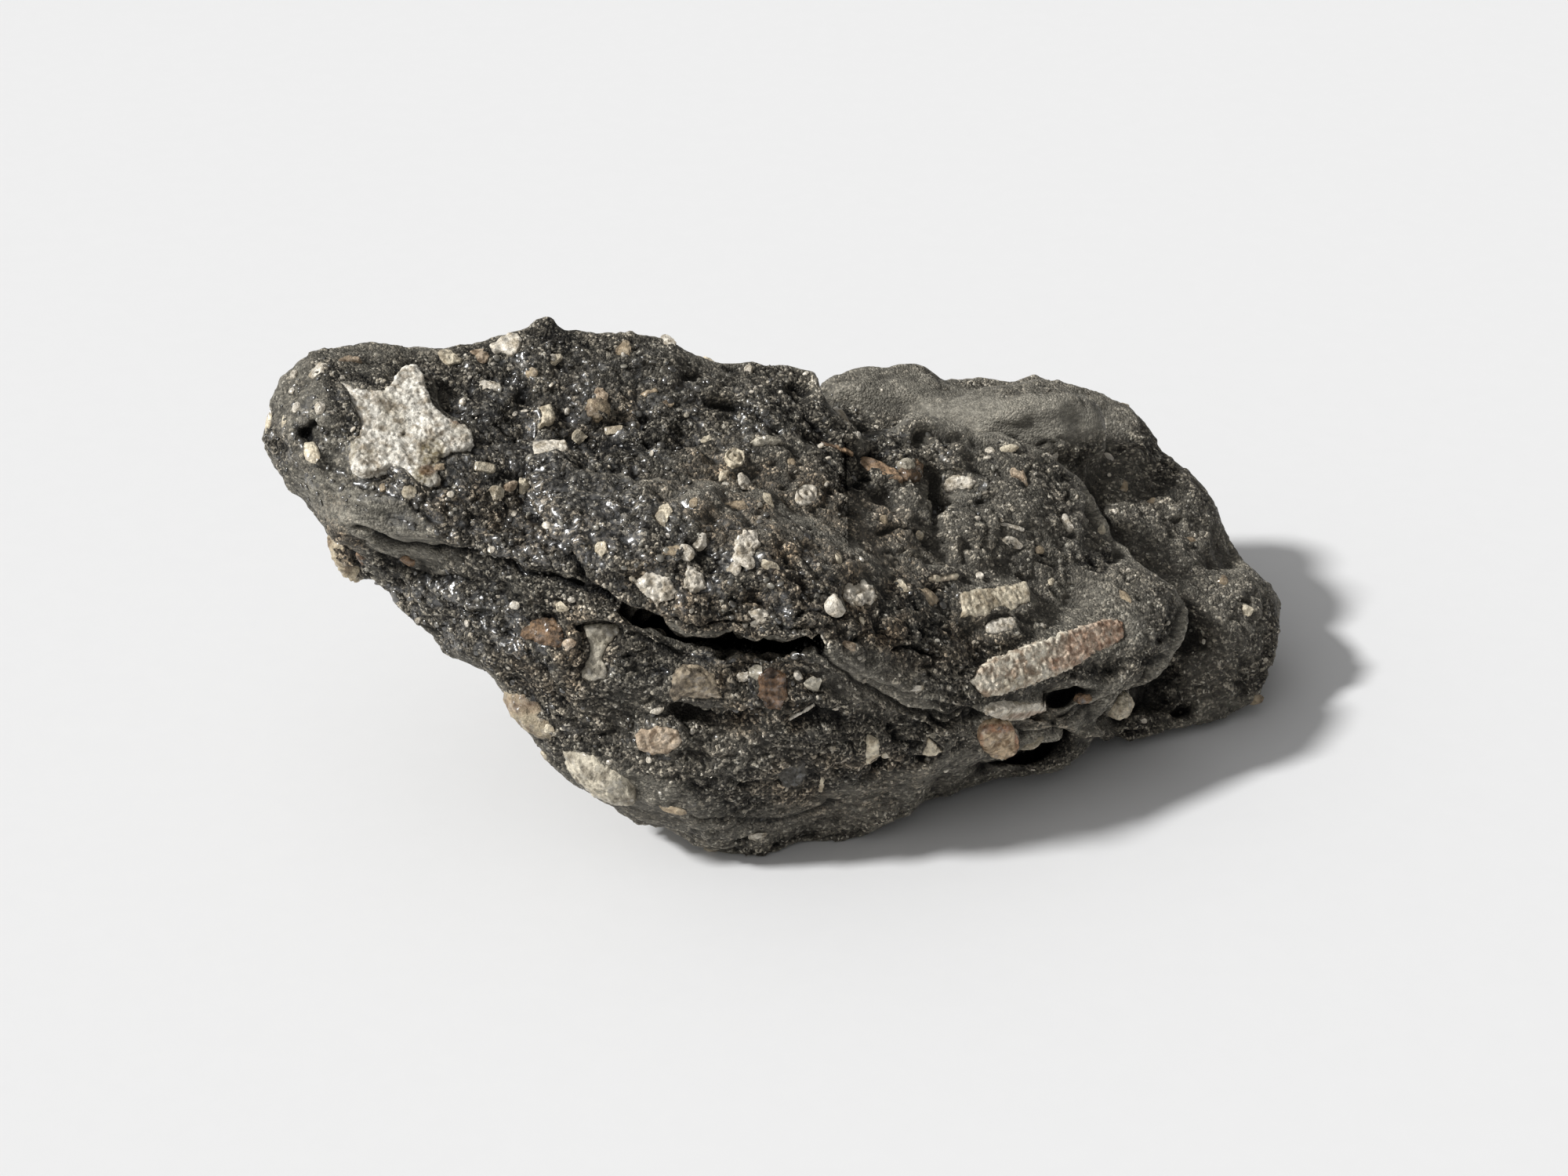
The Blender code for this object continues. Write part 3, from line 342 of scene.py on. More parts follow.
# Finishes: record slot, clean colour, stained colour, patch size, share of dirt and crystal size
FINISHES = {
    "white": ("white_calcite", (0.84, 0.77, 0.65), (0.42, 0.36, 0.27), 0.0006, 0.26, 0.00018),
    "cream": ("cream_calcite", (0.8, 0.71, 0.54), (0.4, 0.33, 0.23), 0.0007, 0.26, 0.00018),
    "tan": ("tan_calcite", (0.5, 0.4, 0.27), (0.24, 0.18, 0.12), 0.0012, 0.24, 0.00016),
    "pink": ("rusty_calcite", (0.68, 0.54, 0.39), (0.24, 0.17, 0.11), 0.0006, 0.26, 0.00016),
    "rust": ("brown_calcite", (0.26, 0.165, 0.095), (0.075, 0.052, 0.036), 0.0004, 0.34, 0.0002),
    "brown": ("brown_calcite", (0.19, 0.12, 0.068), (0.05, 0.038, 0.029), 0.0006, 0.34, 0.0003),
    "green": ("grey_green_calcite", (0.52, 0.475, 0.38), (0.27, 0.243, 0.19), 0.0014, 0.2, 0.0002),
    "grey": ("grey_green_calcite", (0.42, 0.345, 0.245), (0.12, 0.098, 0.072), 0.0006, 0.3, 0.0002),
    "dark": ("dark_limestone", (0.11, 0.102, 0.086), (0.04, 0.038, 0.034), 0.0012, 0.3, 0.0002),
    "star": ("cream_calcite", (0.97, 0.92, 0.81), (0.42, 0.36, 0.275), 0.0007, 0.24, 0.00018),
    "ossicle": ("tan_calcite", (0.72, 0.56, 0.38), (0.24, 0.16, 0.09), 0.0005, 0.3, 0.0002),
    "shell": ("tan_calcite", (0.42, 0.28, 0.17), (0.15, 0.105, 0.07), 0.0008, 0.3, 0.00018),
    "cloudy": ("cream_calcite", (0.62, 0.56, 0.44), (0.25, 0.215, 0.16), 0.0009, 0.32, 0.0002),
    "nodule": ("tan_calcite", (0.52, 0.44, 0.31), (0.24, 0.185, 0.125), 0.0008, 0.26, 0.00016),
    "stem": ("rusty_calcite", (0.86, 0.78, 0.63), (0.38, 0.29, 0.21), 0.0006, 0.26, 0.0002),
}
# Grains with a material of their own: dark, middle and light colour, share of light ones, and if they are wet
GRAIN_LOOKS = {
    "dark": ((0.025, 0.023, 0.019), (0.085, 0.078, 0.064), (0.2, 0.185, 0.155), 0.14, False),
    "grey": ((0.05, 0.046, 0.038), (0.13, 0.12, 0.1), (0.4, 0.375, 0.31), 0.14, False),
    "brown": ((0.035, 0.03, 0.023), (0.11, 0.096, 0.075), (0.3, 0.265, 0.21), 0.14, False),
    "wet": ((0.03, 0.027, 0.022), (0.095, 0.086, 0.07), (0.28, 0.26, 0.21), 0.1, True),
}


# ---------------------------------------------------------------- reading and writing meshes


def read(collection, name, width, kind=float):
    """Reads one property of a mesh's points, edges or normals as an array."""
    values = np.empty(len(collection) * width, kind)
    collection.foreach_get(name, values)
    return values.reshape(-1, width) if width > 1 else values


class Surface:
    """A mesh's points and edges as arrays, in millimetres."""

    def __init__(self, mesh):
        self.mesh = mesh
        self.points = read(mesh.vertices, "co", 3)
        self.edges = read(mesh.edges, "vertices", 2, int)
        self.counts = np.bincount(self.edges.ravel(), minlength=len(self.points)).clip(1)

    def store(self):
        self.mesh.vertices.foreach_set("co", self.points.ravel())
        self.mesh.update()

    def normals(self):
        self.store()
        return read(self.mesh.vertex_normals, "vector", 3)

    def averaged(self, values, steps, share=0.5):
        """The values after each has moved towards the mean of its neighbours."""
        first, second = self.edges.T
        columns = values.reshape(len(values), -1).T.copy()
        for _ in range(steps):
            for column in columns:
                total = np.bincount(first, column[second], len(column))
                total += np.bincount(second, column[first], len(column))
                column += share * (total / self.counts - column)
        return columns.T.reshape(values.shape)

    def height(self, normals, steps):
        """How high each point stands over the averaged surface."""
        return ((self.points - self.averaged(self.points, steps)) * normals).sum(1)

    def mark(self, name, values):
        attribute = self.mesh.attributes.new(name, "FLOAT", "POINT")
        attribute.data.foreach_set("value", np.asarray(values, np.float32))


def linked(name, data):
    """A new object in the scene."""
    obj = bpy.data.objects.new(name, data)
    bpy.context.scene.collection.objects.link(obj)
    return obj


def plain_mesh(mesh, name):
    """A bmesh as a plain mesh. The bmesh is freed."""
    data = bpy.data.meshes.new(name)
    mesh.to_mesh(data)
    mesh.free()
    return data


def modified(obj):
    """The mesh that an object's modifiers make. The object and its own mesh are removed."""
    depsgraph = bpy.context.evaluated_depsgraph_get()
    found = bpy.data.meshes.new_from_object(obj.evaluated_get(depsgraph))
    data = obj.data
    bpy.data.objects.remove(obj)
    bpy.data.meshes.remove(data)
    return found


def merged_copy(node):
    """A CAD node's surface as a bmesh in millimetres, with its loose triangles merged."""
    mesh = bmesh.new()
    mesh.from_mesh(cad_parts[node].data)
    bmesh.ops.remove_doubles(mesh, verts=mesh.verts, dist=1e-6)
    bmesh.ops.scale(mesh, vec=(1 / MM,) * 3, verts=mesh.verts)
    return mesh


def swollen(node, swell, growth=1.0, shift=Vector()):
    """A CAD node's surface, grown along its normals and shifted."""
    mesh = merged_copy(node)
    mesh.normal_update()
    moves = [vert.normal * swell * growth + shift for vert in mesh.verts]
    for vert, move in zip(mesh.verts, moves):
        vert.co += move
    return mesh


def remeshed(mesh, cell):
    """Grows the bmesh's bodies into one closed skin of even faces and frees it."""
    work = linked("work", plain_mesh(mesh, "work"))
    grow = work.modifiers.new("even_faces", "REMESH")
    grow.mode = "VOXEL"
    grow.voxel_size = cell
    return modified(work)


def piece_of(name, mesh, material, slot, *nodes):
    """Makes a finished piece of a mesh in millimetres, riding on the lump, and returns it."""
    mesh.transform(Matrix.Scale(MM, 4))
    mesh.materials.clear()
    mesh.materials.append(material)
    mesh.name = name
    obj = linked(name, mesh)
    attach(obj, "root")
    if nodes:
        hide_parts(*nodes)
    return obj


def tree_of(mesh):
    """A search tree over a mesh in its own units."""
    found = bmesh.new()
    found.from_mesh(mesh)
    tree = BVHTree.FromBMesh(found)
    found.free()
    return tree


def skin_tree():
    """A search tree over the finished skin, in millimetres."""
    return tree_of(bpy.data.meshes[WHOLE_SKIN])


def inner_ring(block, rim):
    """Grows a smooth ring inwards from a cut's rim, so that its cap lies well under the rock's surface."""
    block.normal_update()
    outward = {vert.co.copy().freeze(): vert.normal.copy() for edge in rim for vert in edge.verts}
    grown = bmesh.ops.extrude_edge_only(block, edges=rim)["geom"]
    ring = [part for part in grown if isinstance(part, bmesh.types.BMEdge) and part.is_boundary]
    verts = list(dict.fromkeys(vert for edge in ring for vert in edge.verts))
    moves = {vert: outward[vert.co.copy().freeze()] for vert in verts}
    places = {vert: vert.co.copy() for vert in verts}
    near = {vert: [] for vert in verts}
    for edge in ring:
        first, second = edge.verts
        near[first].append(second)
        near[second].append(first)
    for _ in range(CAP_STEPS):
        moves = {vert: sum((moves[other] for other in near[vert]), moves[vert] * 1.0) for vert in verts}
        places = {vert: sum((places[other] for other in near[vert]), places[vert] * 1.0) / 3 for vert in verts}
    for vert in verts:
        inward = Vector((0.0, moves[vert].y, moves[vert].z)).normalized()
        vert.co = places[vert] - inward * CAP_DEPTH
    return ring


def blocks_of(mesh, cuts):
    """Splits a closed skin at upright planes into closed blocks, whose shading meets along the cuts."""
    blocks = []
    for low, high in zip((None, *cuts), (*cuts, None)):
        block = bmesh.new()
        block.from_mesh(mesh)
        for at, way in ((low, -1.0), (high, 1.0)):
            if at is None:
                continue
            parts = block.verts[:] + block.edges[:] + block.faces[:]
            plane = {"plane_co": (at, 0.0, 0.0), "plane_no": (way, 0.0, 0.0)}
            bmesh.ops.bisect_plane(block, geom=parts, clear_outer=True, **plane)
            rim = [edge for edge in block.edges if edge.is_boundary]
            ring = inner_ring(block, rim)
            caps = bmesh.ops.edgeloop_fill(block, edges=ring)["faces"]
            for face in caps:
                face.smooth = False
                face.normal_update()
                if face.normal.x * way < 0:
                    face.normal_flip()
            bmesh.ops.triangulate(block, faces=caps, ngon_method="EAR_CLIP")
            for edge in rim:
                edge.smooth = False
            if any(edge.is_boundary for edge in block.edges):
                raise RuntimeError("a block of the skin isn't closed")
        blocks.append(plain_mesh(block, "block"))
    return blocks


# ---------------------------------------------------------------- the front view


def ray_at(x, y):
    """The direction in which a pixel of the front view looks."""
    return (FORWARD * FOCAL + RIGHT * (x - PHOTO_WIDTH / 2) + UP * (PHOTO_HEIGHT / 2 - y)).normalized()


def seen_at(tree, x, y):
    """The point and normal of the surface that a pixel of the front view shows."""
    place, normal, _, _ = tree.ray_cast(EYE, ray_at(x, y))
    return place, normal


def on_plane(x, y, middle, out):
    """Where a pixel of the front view meets a plane."""
    ray = ray_at(x, y)
    return EYE + ray * ((middle - EYE).dot(out) / ray.dot(out))


def pixels_of(points):
    """Where points are in the front view, and how many millimetres a pixel spans there."""
    aside = points - np.array(EYE)
    depth = aside @ np.array(FORWARD)
    x = PHOTO_WIDTH / 2 + FOCAL * (aside @ np.array(RIGHT)) / depth
    y = PHOTO_HEIGHT / 2 - FOCAL * (aside @ np.array(UP)) / depth
    return x, y, depth / FOCAL


def line_distance(x, y, line):
    """How far pixels lie from a line of pixels, on which side (+1 on its left), and how far from its ends."""
    nearest = np.full(len(x), np.inf)
    side = np.zeros(len(x))
    for (start_x, start_y), (end_x, end_y) in zip(line, line[1:]):
        way_x = end_x - start_x
        way_y = end_y - start_y
        share = np.clip(((x - start_x) * way_x + (y - start_y) * way_y) / (way_x**2 + way_y**2), 0, 1)
        aside_x = x - start_x - share * way_x
        aside_y = y - start_y - share * way_y
        distance = np.hypot(aside_x, aside_y)
        side = np.where(distance < nearest, -np.sign(way_x * aside_y - way_y * aside_x), side)
        nearest = np.minimum(nearest, distance)
    ends = [np.hypot(x - end_x, y - end_y) for end_x, end_y in (line[0], line[-1])]
    return nearest, side, np.minimum(*ends)


def ellipse(x, y, centre_x, centre_y, half_width, half_height, turn):
    """How far pixels lie from an ellipse's middle, 1 on its rim. It is turned clockwise."""
    c = math.cos(math.radians(turn))
    s = math.sin(math.radians(turn))
    along = ((x - centre_x) * c + (y - centre_y) * s) / half_width
    across = (-(x - centre_x) * s + (y - centre_y) * c) / half_height
    return along**2 + across**2


def area_mask(x, y, name):
    """How strongly pixels lie in one kind of the soft-edged areas."""
    total = np.zeros(len(x))
    for *shape, strength in AREAS[name]:
        total = np.maximum(total, strength * np.clip(1.6 - 1.1 * ellipse(x, y, *shape), 0, 1))
    return total


def inside_distance(flat, outline):
    """How far points of a plane lie inside an outline, negative where they are outside."""
    starts = outline
    ends = np.roll(outline, -1, axis=0)
    ways = ends - starts
    aside = flat[:, None, :] - starts[None]
    share = np.clip((aside * ways).sum(2) / (ways**2).sum(1), 0, 1)
    distance = np.linalg.norm(aside - share[..., None] * ways, axis=2).min(1)
    rise = flat[:, 1][:, None]
    crosses = (starts[:, 1] > rise) != (ends[:, 1] > rise)
    slope = ways[:, 0] / np.where(ways[:, 1] == 0, 1e-9, ways[:, 1])
    passed = crosses & (flat[:, 0][:, None] < starts[:, 0] + (rise - starts[:, 1]) * slope)
    return np.where(passed.sum(1) % 2 == 1, distance, -distance)


def crag_field(points, length, octaves=3, fading=0.8, offset=0.0):
    """Fractal noise at each point, of about one either way."""
    shift = Vector((offset, -offset, offset * 2))
    return np.array([noise.fractal(Vector(p) / length + shift, fading, 2.0, octaves) for p in points])


def cell_field(points, length, offset=0.0):
    """Rounded cells with creases between them, 0 in the creases and up to 1 on their tops."""
    shift = Vector((offset, -offset, offset * 2))
    found = []
    for point in points:
        distances, _ = noise.voronoi(Vector(point) / length + shift)
        found.append(min((distances[1] - distances[0]) * 1.6, 1.0))
    return np.array(found)


def vector_field(points, length):
    """A smooth random vector at each point."""
    return np.array([noise.noise_vector(Vector(p) / length) for p in points])


# ---------------------------------------------------------------- shader nodes


class Nodes:
    """Adds nodes to a tree with their values, links and settings in one call."""

    def __init__(self, tree):
        self.tree = tree

    def add(self, kind, inputs=None, **settings):
        node = self.tree.nodes.new(kind)
        for name, value in settings.items():
            setattr(node, name, value)
        self.feed(node, inputs or {})
        return node

    def feed(self, node, values):
        """Links or sets some of a node's inputs."""
        for name, value in values.items():
            socket = node.inputs[name]
            if isinstance(value, bpy.types.Node):
                value = value.outputs[0]
            if isinstance(value, bpy.types.NodeSocket):
                self.tree.links.new(value, socket)
            elif socket.type == "RGBA" and len(value) == 3:
                socket.default_value = (*value, 1.0)
            else:
                socket.default_value = value

    def math(self, operation, *values, clamp=False):
        return self.add("ShaderNodeMath", dict(enumerate(values)), operation=operation, use_clamp=clamp)

    def vector(self, operation, *values):
        return self.add("ShaderNodeVectorMath", dict(enumerate(values)), operation=operation)

    def times(self, vector, factor):
        return self.add("ShaderNodeVectorMath", {0: vector, "Scale": factor}, operation="SCALE")

    def scaled(self, vector, length):
        """The vector in units of a length."""
        plain = isinstance(length, (int, float))
        return self.times(vector, 1.0 / length if plain else self.math("DIVIDE", 1.0, length))

    def fit(self, value, low, high, to_low=0.0, to_high=1.0):
        """Carries a value from one range to another and keeps it there."""
        return self.add("ShaderNodeMapRange", {0: value, 1: low, 2: high, 3: to_low, 4: to_high})

    def between(self, share, first, second):
        return self.add("ShaderNodeMix", {0: share, 2: first, 3: second}, data_type="FLOAT")

    def blend(self, share, first, second, way="MIX"):
        mixed = self.add("ShaderNodeMix", {0: share, 6: first, 7: second}, data_type="RGBA", blend_type=way)
        return mixed.outputs[2]

    def shaded(self, colour, value):
        """The colour times a grey."""
        grey = self.add("ShaderNodeCombineColor", {0: value, 1: value, 2: value})
        return self.blend(1.0, colour, grey, "MULTIPLY")

    def noise(self, vector, scale=1.0, detail=3.0, roughness=0.6, distortion=0.0):
        values = {"Vector": vector, "Scale": scale, "Detail": detail}
        values.update({"Roughness": roughness, "Distortion": distortion})
        return self.add("ShaderNodeTexNoise", values)

    def cells(self, vector, scale=1.0):
        return self.add("ShaderNodeTexVoronoi", {"Vector": vector, "Scale": scale}, feature="F1")

    def channels(self, colour):
        return self.add("ShaderNodeSeparateColor", {0: colour}).outputs

    def attribute(self, name):
        return self.add("ShaderNodeAttribute", attribute_name=name).outputs["Fac"]

    def effect(self, name, place, values):
        """One of the effects, at a place and with values of its own."""
        return self.add("ShaderNodeGroup", {"Vector": place, **values}, node_tree=effect_of(name))


def build_rubble(nodes, given):
    """Angular grains of differing grey, with their heights."""
    place = nodes.scaled(given["Vector"], given["Grain Size"])
    bend = nodes.noise(place, 1.3, 2.0).outputs["Color"]
    cells = nodes.cells(nodes.vector("MULTIPLY_ADD", bend, (1.1, 1.1, 1.1), place))
    random, rarity, _ = nodes.channels(cells.outputs["Color"])
    colour = nodes.blend(nodes.fit(random, 0.25, 0.85), given["Dark"], given["Middle"])
    colour = nodes.blend(nodes.fit(random, 0.78, 0.92), colour, given["Light"])
    colour = nodes.blend(nodes.math("LESS_THAN", rarity, given["Pale Share"]), colour, given["Pale"])
    soft = nodes.math("SUBTRACT", 1.0, cells.outputs["Distance"])
    return {"Colour": colour, "Height": nodes.math("MULTIPLY_ADD", random, 0.6, soft)}


def build_facets(nodes, given):
    """Flat crystal faces at random tilts, as a height."""
    place = nodes.scaled(given["Vector"], given["Facet Size"])
    cells = nodes.cells(place)
    aside = nodes.vector("SUBTRACT", place, cells.outputs["Position"])
    tilt = nodes.vector("SUBTRACT", cells.outputs["Color"], (0.5, 0.5, 0.5))
    slope = nodes.vector("DOT_PRODUCT", aside, tilt).outputs["Value"]
    return {"Height": nodes.math("MULTIPLY", slope, given["Tilt"])}


def build_film(nodes, given):
    """A broken film of water: where it lies, and how rough the surface is."""
    patches = nodes.noise(nodes.scaled(given["Vector"], given["Patch Size"]), 1.0, 4.0, 0.65)
    lowest = nodes.fit(given["Amount"], 0.0, 1.0, 0.72, 0.38)
    film = nodes.math("MULTIPLY", nodes.math("SUBTRACT", patches, lowest), 7.0, clamp=True)
    return {"Film": film, "Roughness": nodes.between(film, given["Dry"], given["Wet"])}


def build_calcite(nodes, given):
    """Cloudy crystal with stained patches, dirt and sugary relief."""
    patchy = nodes.scaled(given["Vector"], given["Patch Size"])
    sugary = nodes.scaled(given["Vector"], given["Crystal Size"])
    broad = nodes.noise(patchy, 1.0, 4.0, 0.6, 0.4)
    fine = nodes.noise(sugary, 1.0, 3.0, 0.7)
    tone = nodes.channels(nodes.cells(sugary, 0.8).outputs["Color"])[0]
    colour = nodes.blend(nodes.fit(broad, 0.37, 0.57), given["Stained"], given["Clean"])
    colour = nodes.shaded(colour, nodes.fit(tone, 0.0, 1.0, 0.66, 1.14))
    grime = nodes.fit(nodes.noise(patchy, 2.3, 6.0, 0.75), 0.3, 0.7)
    over = nodes.math("SUBTRACT", grime, nodes.math("SUBTRACT", 1.0, given["Dirt Share"]))
    colour = nodes.blend(nodes.math("MULTIPLY", over, 3.0, clamp=True), colour, given["Dirt"])
    return {"Colour": colour, "Height": nodes.math("MULTIPLY_ADD", tone, 0.7, fine)}


# Effects that materials share: what builds each, and its inputs after the vector with their defaults
EFFECTS = {
    "Grain Rubble": (
        build_rubble,
        {
            "Grain Size": 0.0003,
            "Dark": (0.03, 0.03, 0.03),
            "Middle": (0.08, 0.08, 0.08),
            "Light": (0.2, 0.2, 0.19),
            "Pale": (0.42, 0.4, 0.34),
            "Pale Share": 0.04,
        },
    ),
    "Crystal Facets": (build_facets, {"Facet Size": 0.0003, "Tilt": 1.0}),
    "Damp Film": (build_film, {"Amount": 0.5, "Patch Size": 0.0012, "Wet": 0.16, "Dry": 0.7}),
    "Sugary Calcite": (
        build_calcite,
        {
            "Crystal Size": 0.0002,
            "Patch Size": 0.0014,
            "Clean": (0.6, 0.55, 0.45),
            "Stained": (0.35, 0.3, 0.22),
            "Dirt": (0.08, 0.075, 0.06),
            "Dirt Share": 0.2,
        },
    ),
}
# A film of water. Its share is fed to the coat's weight
WET_COAT = {"Specular IOR Level": 0.25, "Coat Roughness": 0.27, "Coat IOR": 1.9}


def effect_of(name):
    """The shader group of an effect, built when it is first asked for."""
    if name in bpy.data.node_groups:
        return bpy.data.node_groups[name]
    build, defaults = EFFECTS[name]
    tree = bpy.data.node_groups.new(name, "ShaderNodeTree")
    tree.interface.new_socket("Vector", in_out="INPUT", socket_type="NodeSocketVector")
    for label, default in defaults.items():
        coloured = isinstance(default, tuple)
        kind = "NodeSocketColor" if coloured else "NodeSocketFloat"
        socket = tree.interface.new_socket(label, in_out="INPUT", socket_type=kind)
        socket.default_value = (*default, 1.0) if coloured else default
    nodes = Nodes(tree)
    outputs = build(nodes, nodes.add("NodeGroupInput").outputs)
    for label in outputs:
        kind = "NodeSocketColor" if label == "Colour" else "NodeSocketFloat"
        tree.interface.new_socket(label, in_out="OUTPUT", socket_type=kind)
    nodes.add("NodeGroupOutput", outputs)
    return tree


def new_material(name):
    """An empty material, its nodes, its Principled shader and the place on its piece."""
    made = bpy.data.materials.new(name)
    made.use_nodes = True
    made.node_tree.nodes.clear()
    nodes = Nodes(made.node_tree)
    shader = nodes.add("ShaderNodeBsdfPrincipled")
    nodes.add("ShaderNodeOutputMaterial", {"Surface": shader})
    return made, nodes, shader, nodes.add("ShaderNodeTexCoord").outputs["Object"]


def dress(nodes, shader, bump, values):
    """Sets a shader's inputs, and its relief from a height, a distance and a strength."""
    bump = dict(zip(("Height", "Distance", "Strength"), bump))
    nodes.feed(shader, {"Normal": nodes.add("ShaderNodeBump", bump), **values})


def wet_look(colour, film):
    """The inputs of a shader under a damp film."""
    shine = {"Roughness": film.outputs["Roughness"], "Coat Weight": film.outputs["Film"]}
    return {**WET_COAT, "Base Color": colour, **shine}


def skin_material(settings):
    """The dark limestone: grains, worn grey streaks, pale dust, painted shade in hollows and shadowed places,
    painted light on peaks and a broken damp film.
    """
    made, nodes, shader, place = new_material("damp_limestone")
    look = {"Grain Size": 0.00015, "Pale": (0.5, 0.47, 0.4), "Pale Share": 0.04}
    for tone in ("dark", "middle", "light"):
        look[tone.title()] = tuple(getattr(settings, tone + "_colour"))
    rubble = nodes.effect("Grain Rubble", place, look).outputs
    marks = ("cavity", "deep", "worn", "warm", "dust", "damp")
    cavity, deep, worn, warm, dust, damp = map(nodes.attribute, marks)
    drift = nodes.noise(nodes.scaled(place, 0.0028), 1.0, 5.0, 0.65)
    colour = nodes.shaded(rubble["Colour"], nodes.fit(drift, 0.3, 0.7, 0.5, 1.6))
    tint = nodes.math("MULTIPLY", nodes.fit(drift, 0.4, 0.62), nodes.math("ADD", warm, 0.12), clamp=True)
    colour = nodes.blend(tint, colour, (1.19, 1.0, 0.83), "MULTIPLY")
    drawn_out = {"Vector": place, "Rotation": (0.3, 0.6, 0.2), "Scale": (1.0, 1.6, 5.0)}
    streaks = nodes.add("ShaderNodeMapping", drawn_out)
    bands = nodes.fit(nodes.noise(nodes.scaled(streaks, 0.001), 1.0, 7.0, 0.75, 0.8), 0.4, 0.62)
    smooth_grey = nodes.blend(bands, tuple(settings.worn_dark), tuple(settings.worn_light))
    colour = nodes.blend(nodes.math("MULTIPLY", worn, 0.8), colour, smooth_grey)
    # Painted shade darkens small cavities and broad hollows, and painted light brightens the peaks
    low = nodes.fit(deep, -1.0, 0.0, 0.22, 1.0)
    shade = nodes.math("MULTIPLY", nodes.fit(cavity, -0.9, 0.1, 0.14, 1.0), low)
    # Lighter with pale dust and painted light, darker with painted shade in the dark areas
    bright = nodes.fit(dust, -1.5, 1.5, 0.33, 1.62)
    peaks = nodes.math("MULTIPLY", nodes.fit(cavity, 0.1, 0.9, 1.05, 1.7), bright)
    colour = nodes.shaded(colour, nodes.math("MULTIPLY", shade, peaks))
    colour = nodes.blend(nodes.fit(dust, 0.1, 1.2, 0.0, 0.42), colour, (0.215, 0.2, 0.168))
    film = nodes.effect("Damp Film", place, {"Amount": damp, "Patch Size": 0.0009, "Wet": 0.4, "Dry": 0.6})
    wet = film.outputs["Film"]
    colour = nodes.shaded(colour, nodes.fit(wet, 0.0, 1.0, 1.04, 0.68))
    dry = nodes.math("SUBTRACT", 1.0, nodes.math("MULTIPLY", wet, 0.8))
    fine = nodes.noise(nodes.scaled(place, 0.0001), 1.0, 3.0, 0.7)
    facets = nodes.effect("Crystal Facets", place, {"Facet Size": 0.00025, "Tilt": 1.2})
    crumbs = nodes.math("MULTIPLY", nodes.math("MULTIPLY", fine, 0.6), dry)
    height = nodes.math("MULTIPLY_ADD", rubble["Height"], dry, crumbs)
    height = nodes.math("ADD", height, nodes.math("MULTIPLY", facets, wet))
    bump = (height, 0.00018, nodes.fit(worn, 0.0, 1.0, 1.0, 0.75))
    dress(nodes, shader, bump, wet_look(colour, film))
    return made


def grain_material(name, dark, middle, light, share, wet):
    """Loose-looking crystals, each of its own grey by the value kept on it, wet all over or in places."""
    made, nodes, shader, place = new_material(name)
    tone = nodes.attribute("tone")
    colour = nodes.blend(nodes.fit(tone, 0.0, 1.0 - share), dark, middle)
    colour = nodes.blend(nodes.fit(tone, 1.0 - share, 1.0 - share * 0.4), colour, light)
    fine = nodes.noise(nodes.scaled(place, 0.00015), 1.0, 3.0, 0.7)
    values = {"Base Color": nodes.shaded(colour, nodes.fit(fine, 0.3, 0.7, 0.7, 1.25))}
    if wet:
        values.update({**WET_COAT, "Coat Weight": 1.0, "Coat Roughness": 0.2})
    else:
        film = nodes.effect("Damp Film", place, {"Amount": 0.65, "Patch Size": 0.0016, "Wet": 0.2, "Dry": 0.55})
        coat = nodes.math("MULTIPLY", film.outputs["Film"], 0.4)
        values.update({"Roughness": film.outputs["Roughness"], "Coat Weight": coat, "Coat Roughness": 0.08})
    dress(nodes, shader, (fine, 0.00004, 0.5), values)
    return made


def finish_material(finish):
    """Worn fossil calcite of one finish, made when it is first asked for. Each piece has a tone of its own."""
    name = f"{finish}_calcite_finish"
    if name in bpy.data.materials:
        return bpy.data.materials[name]
    _, clean, stained, patch, dirt_share, crystal = FINISHES[finish]
    made, nodes, shader, place = new_material(name)
    look = {"Crystal Size": crystal, "Patch Size": patch, "Clean": clean, "Stained": stained}
    look.update({"Dirt": (0.07, 0.062, 0.048), "Dirt Share": dirt_share})
    calcite = nodes.effect("Sugary Calcite", place, look).outputs
    colour = nodes.shaded(calcite["Colour"], nodes.fit(nodes.attribute("tone"), 0.0, 1.0, 0.7, 1.2))
    spread = nodes.noise(nodes.scaled(place, 0.0005), 1.0, 4.0, 0.7)
    edge = nodes.fit(spread, 0.35, 0.6, 0.45, 1.0)
    for stain, tint in (("olive", (0.3, 0.26, 0.17)), ("rusty", (0.56, 0.38, 0.31))):
        share = nodes.math("MULTIPLY", nodes.attribute(stain), edge)
        colour = nodes.blend(share, colour, tint, "MULTIPLY")
    # Painted shade: the fossil's hollows are darkened in its colour
    colour = nodes.shaded(colour, nodes.fit(nodes.attribute("cavity"), -1.0, -0.1, 0.35, 1.0))
    film = nodes.effect("Damp Film", place, {"Amount": 0.62, "Patch Size": 0.0006, "Wet": 0.28, "Dry": 0.5})
    facets = nodes.effect("Crystal Facets", place, {"Facet Size": 0.00025, "Tilt": 1.1})
    height = nodes.math("ADD", calcite["Height"], facets)
    dress(nodes, shader, (height, 0.00016, 0.9), wet_look(colour, film))
    return made


# ---------------------------------------------------------------- the skin


def facing_of(node, rock_tree):
    """The middle of a fossil's open side and the way it faces, from its faces that look out of the rock."""
    mesh = merged_copy(node)
    total = Vector()
    middle = Vector()
    share = 0.0
    for face in mesh.faces:
        centre = face.calc_center_median()
        if rock_tree.ray_cast(centre + face.normal * 0.05, face.normal, 8.0)[0] is None:
            area = face.calc_area()
            total += face.normal * area
            middle += centre * area
            share += area
    mesh.free()
    return middle / share, total.normalized()


def round_outline(middle_x, middle_y, half_width, half_height, turn, corners=28):
    """The outline of a round section, in pixels."""
    c = math.cos(math.radians(turn))
    s = math.sin(math.radians(turn))
    found = []
    for index in range(corners):
        angle = math.tau * index / corners
        along = half_width * math.cos(angle)
        across = half_height * math.sin(angle)
        found.append((middle_x + along * c - across * s, middle_y + along * s + across * c))
    return found


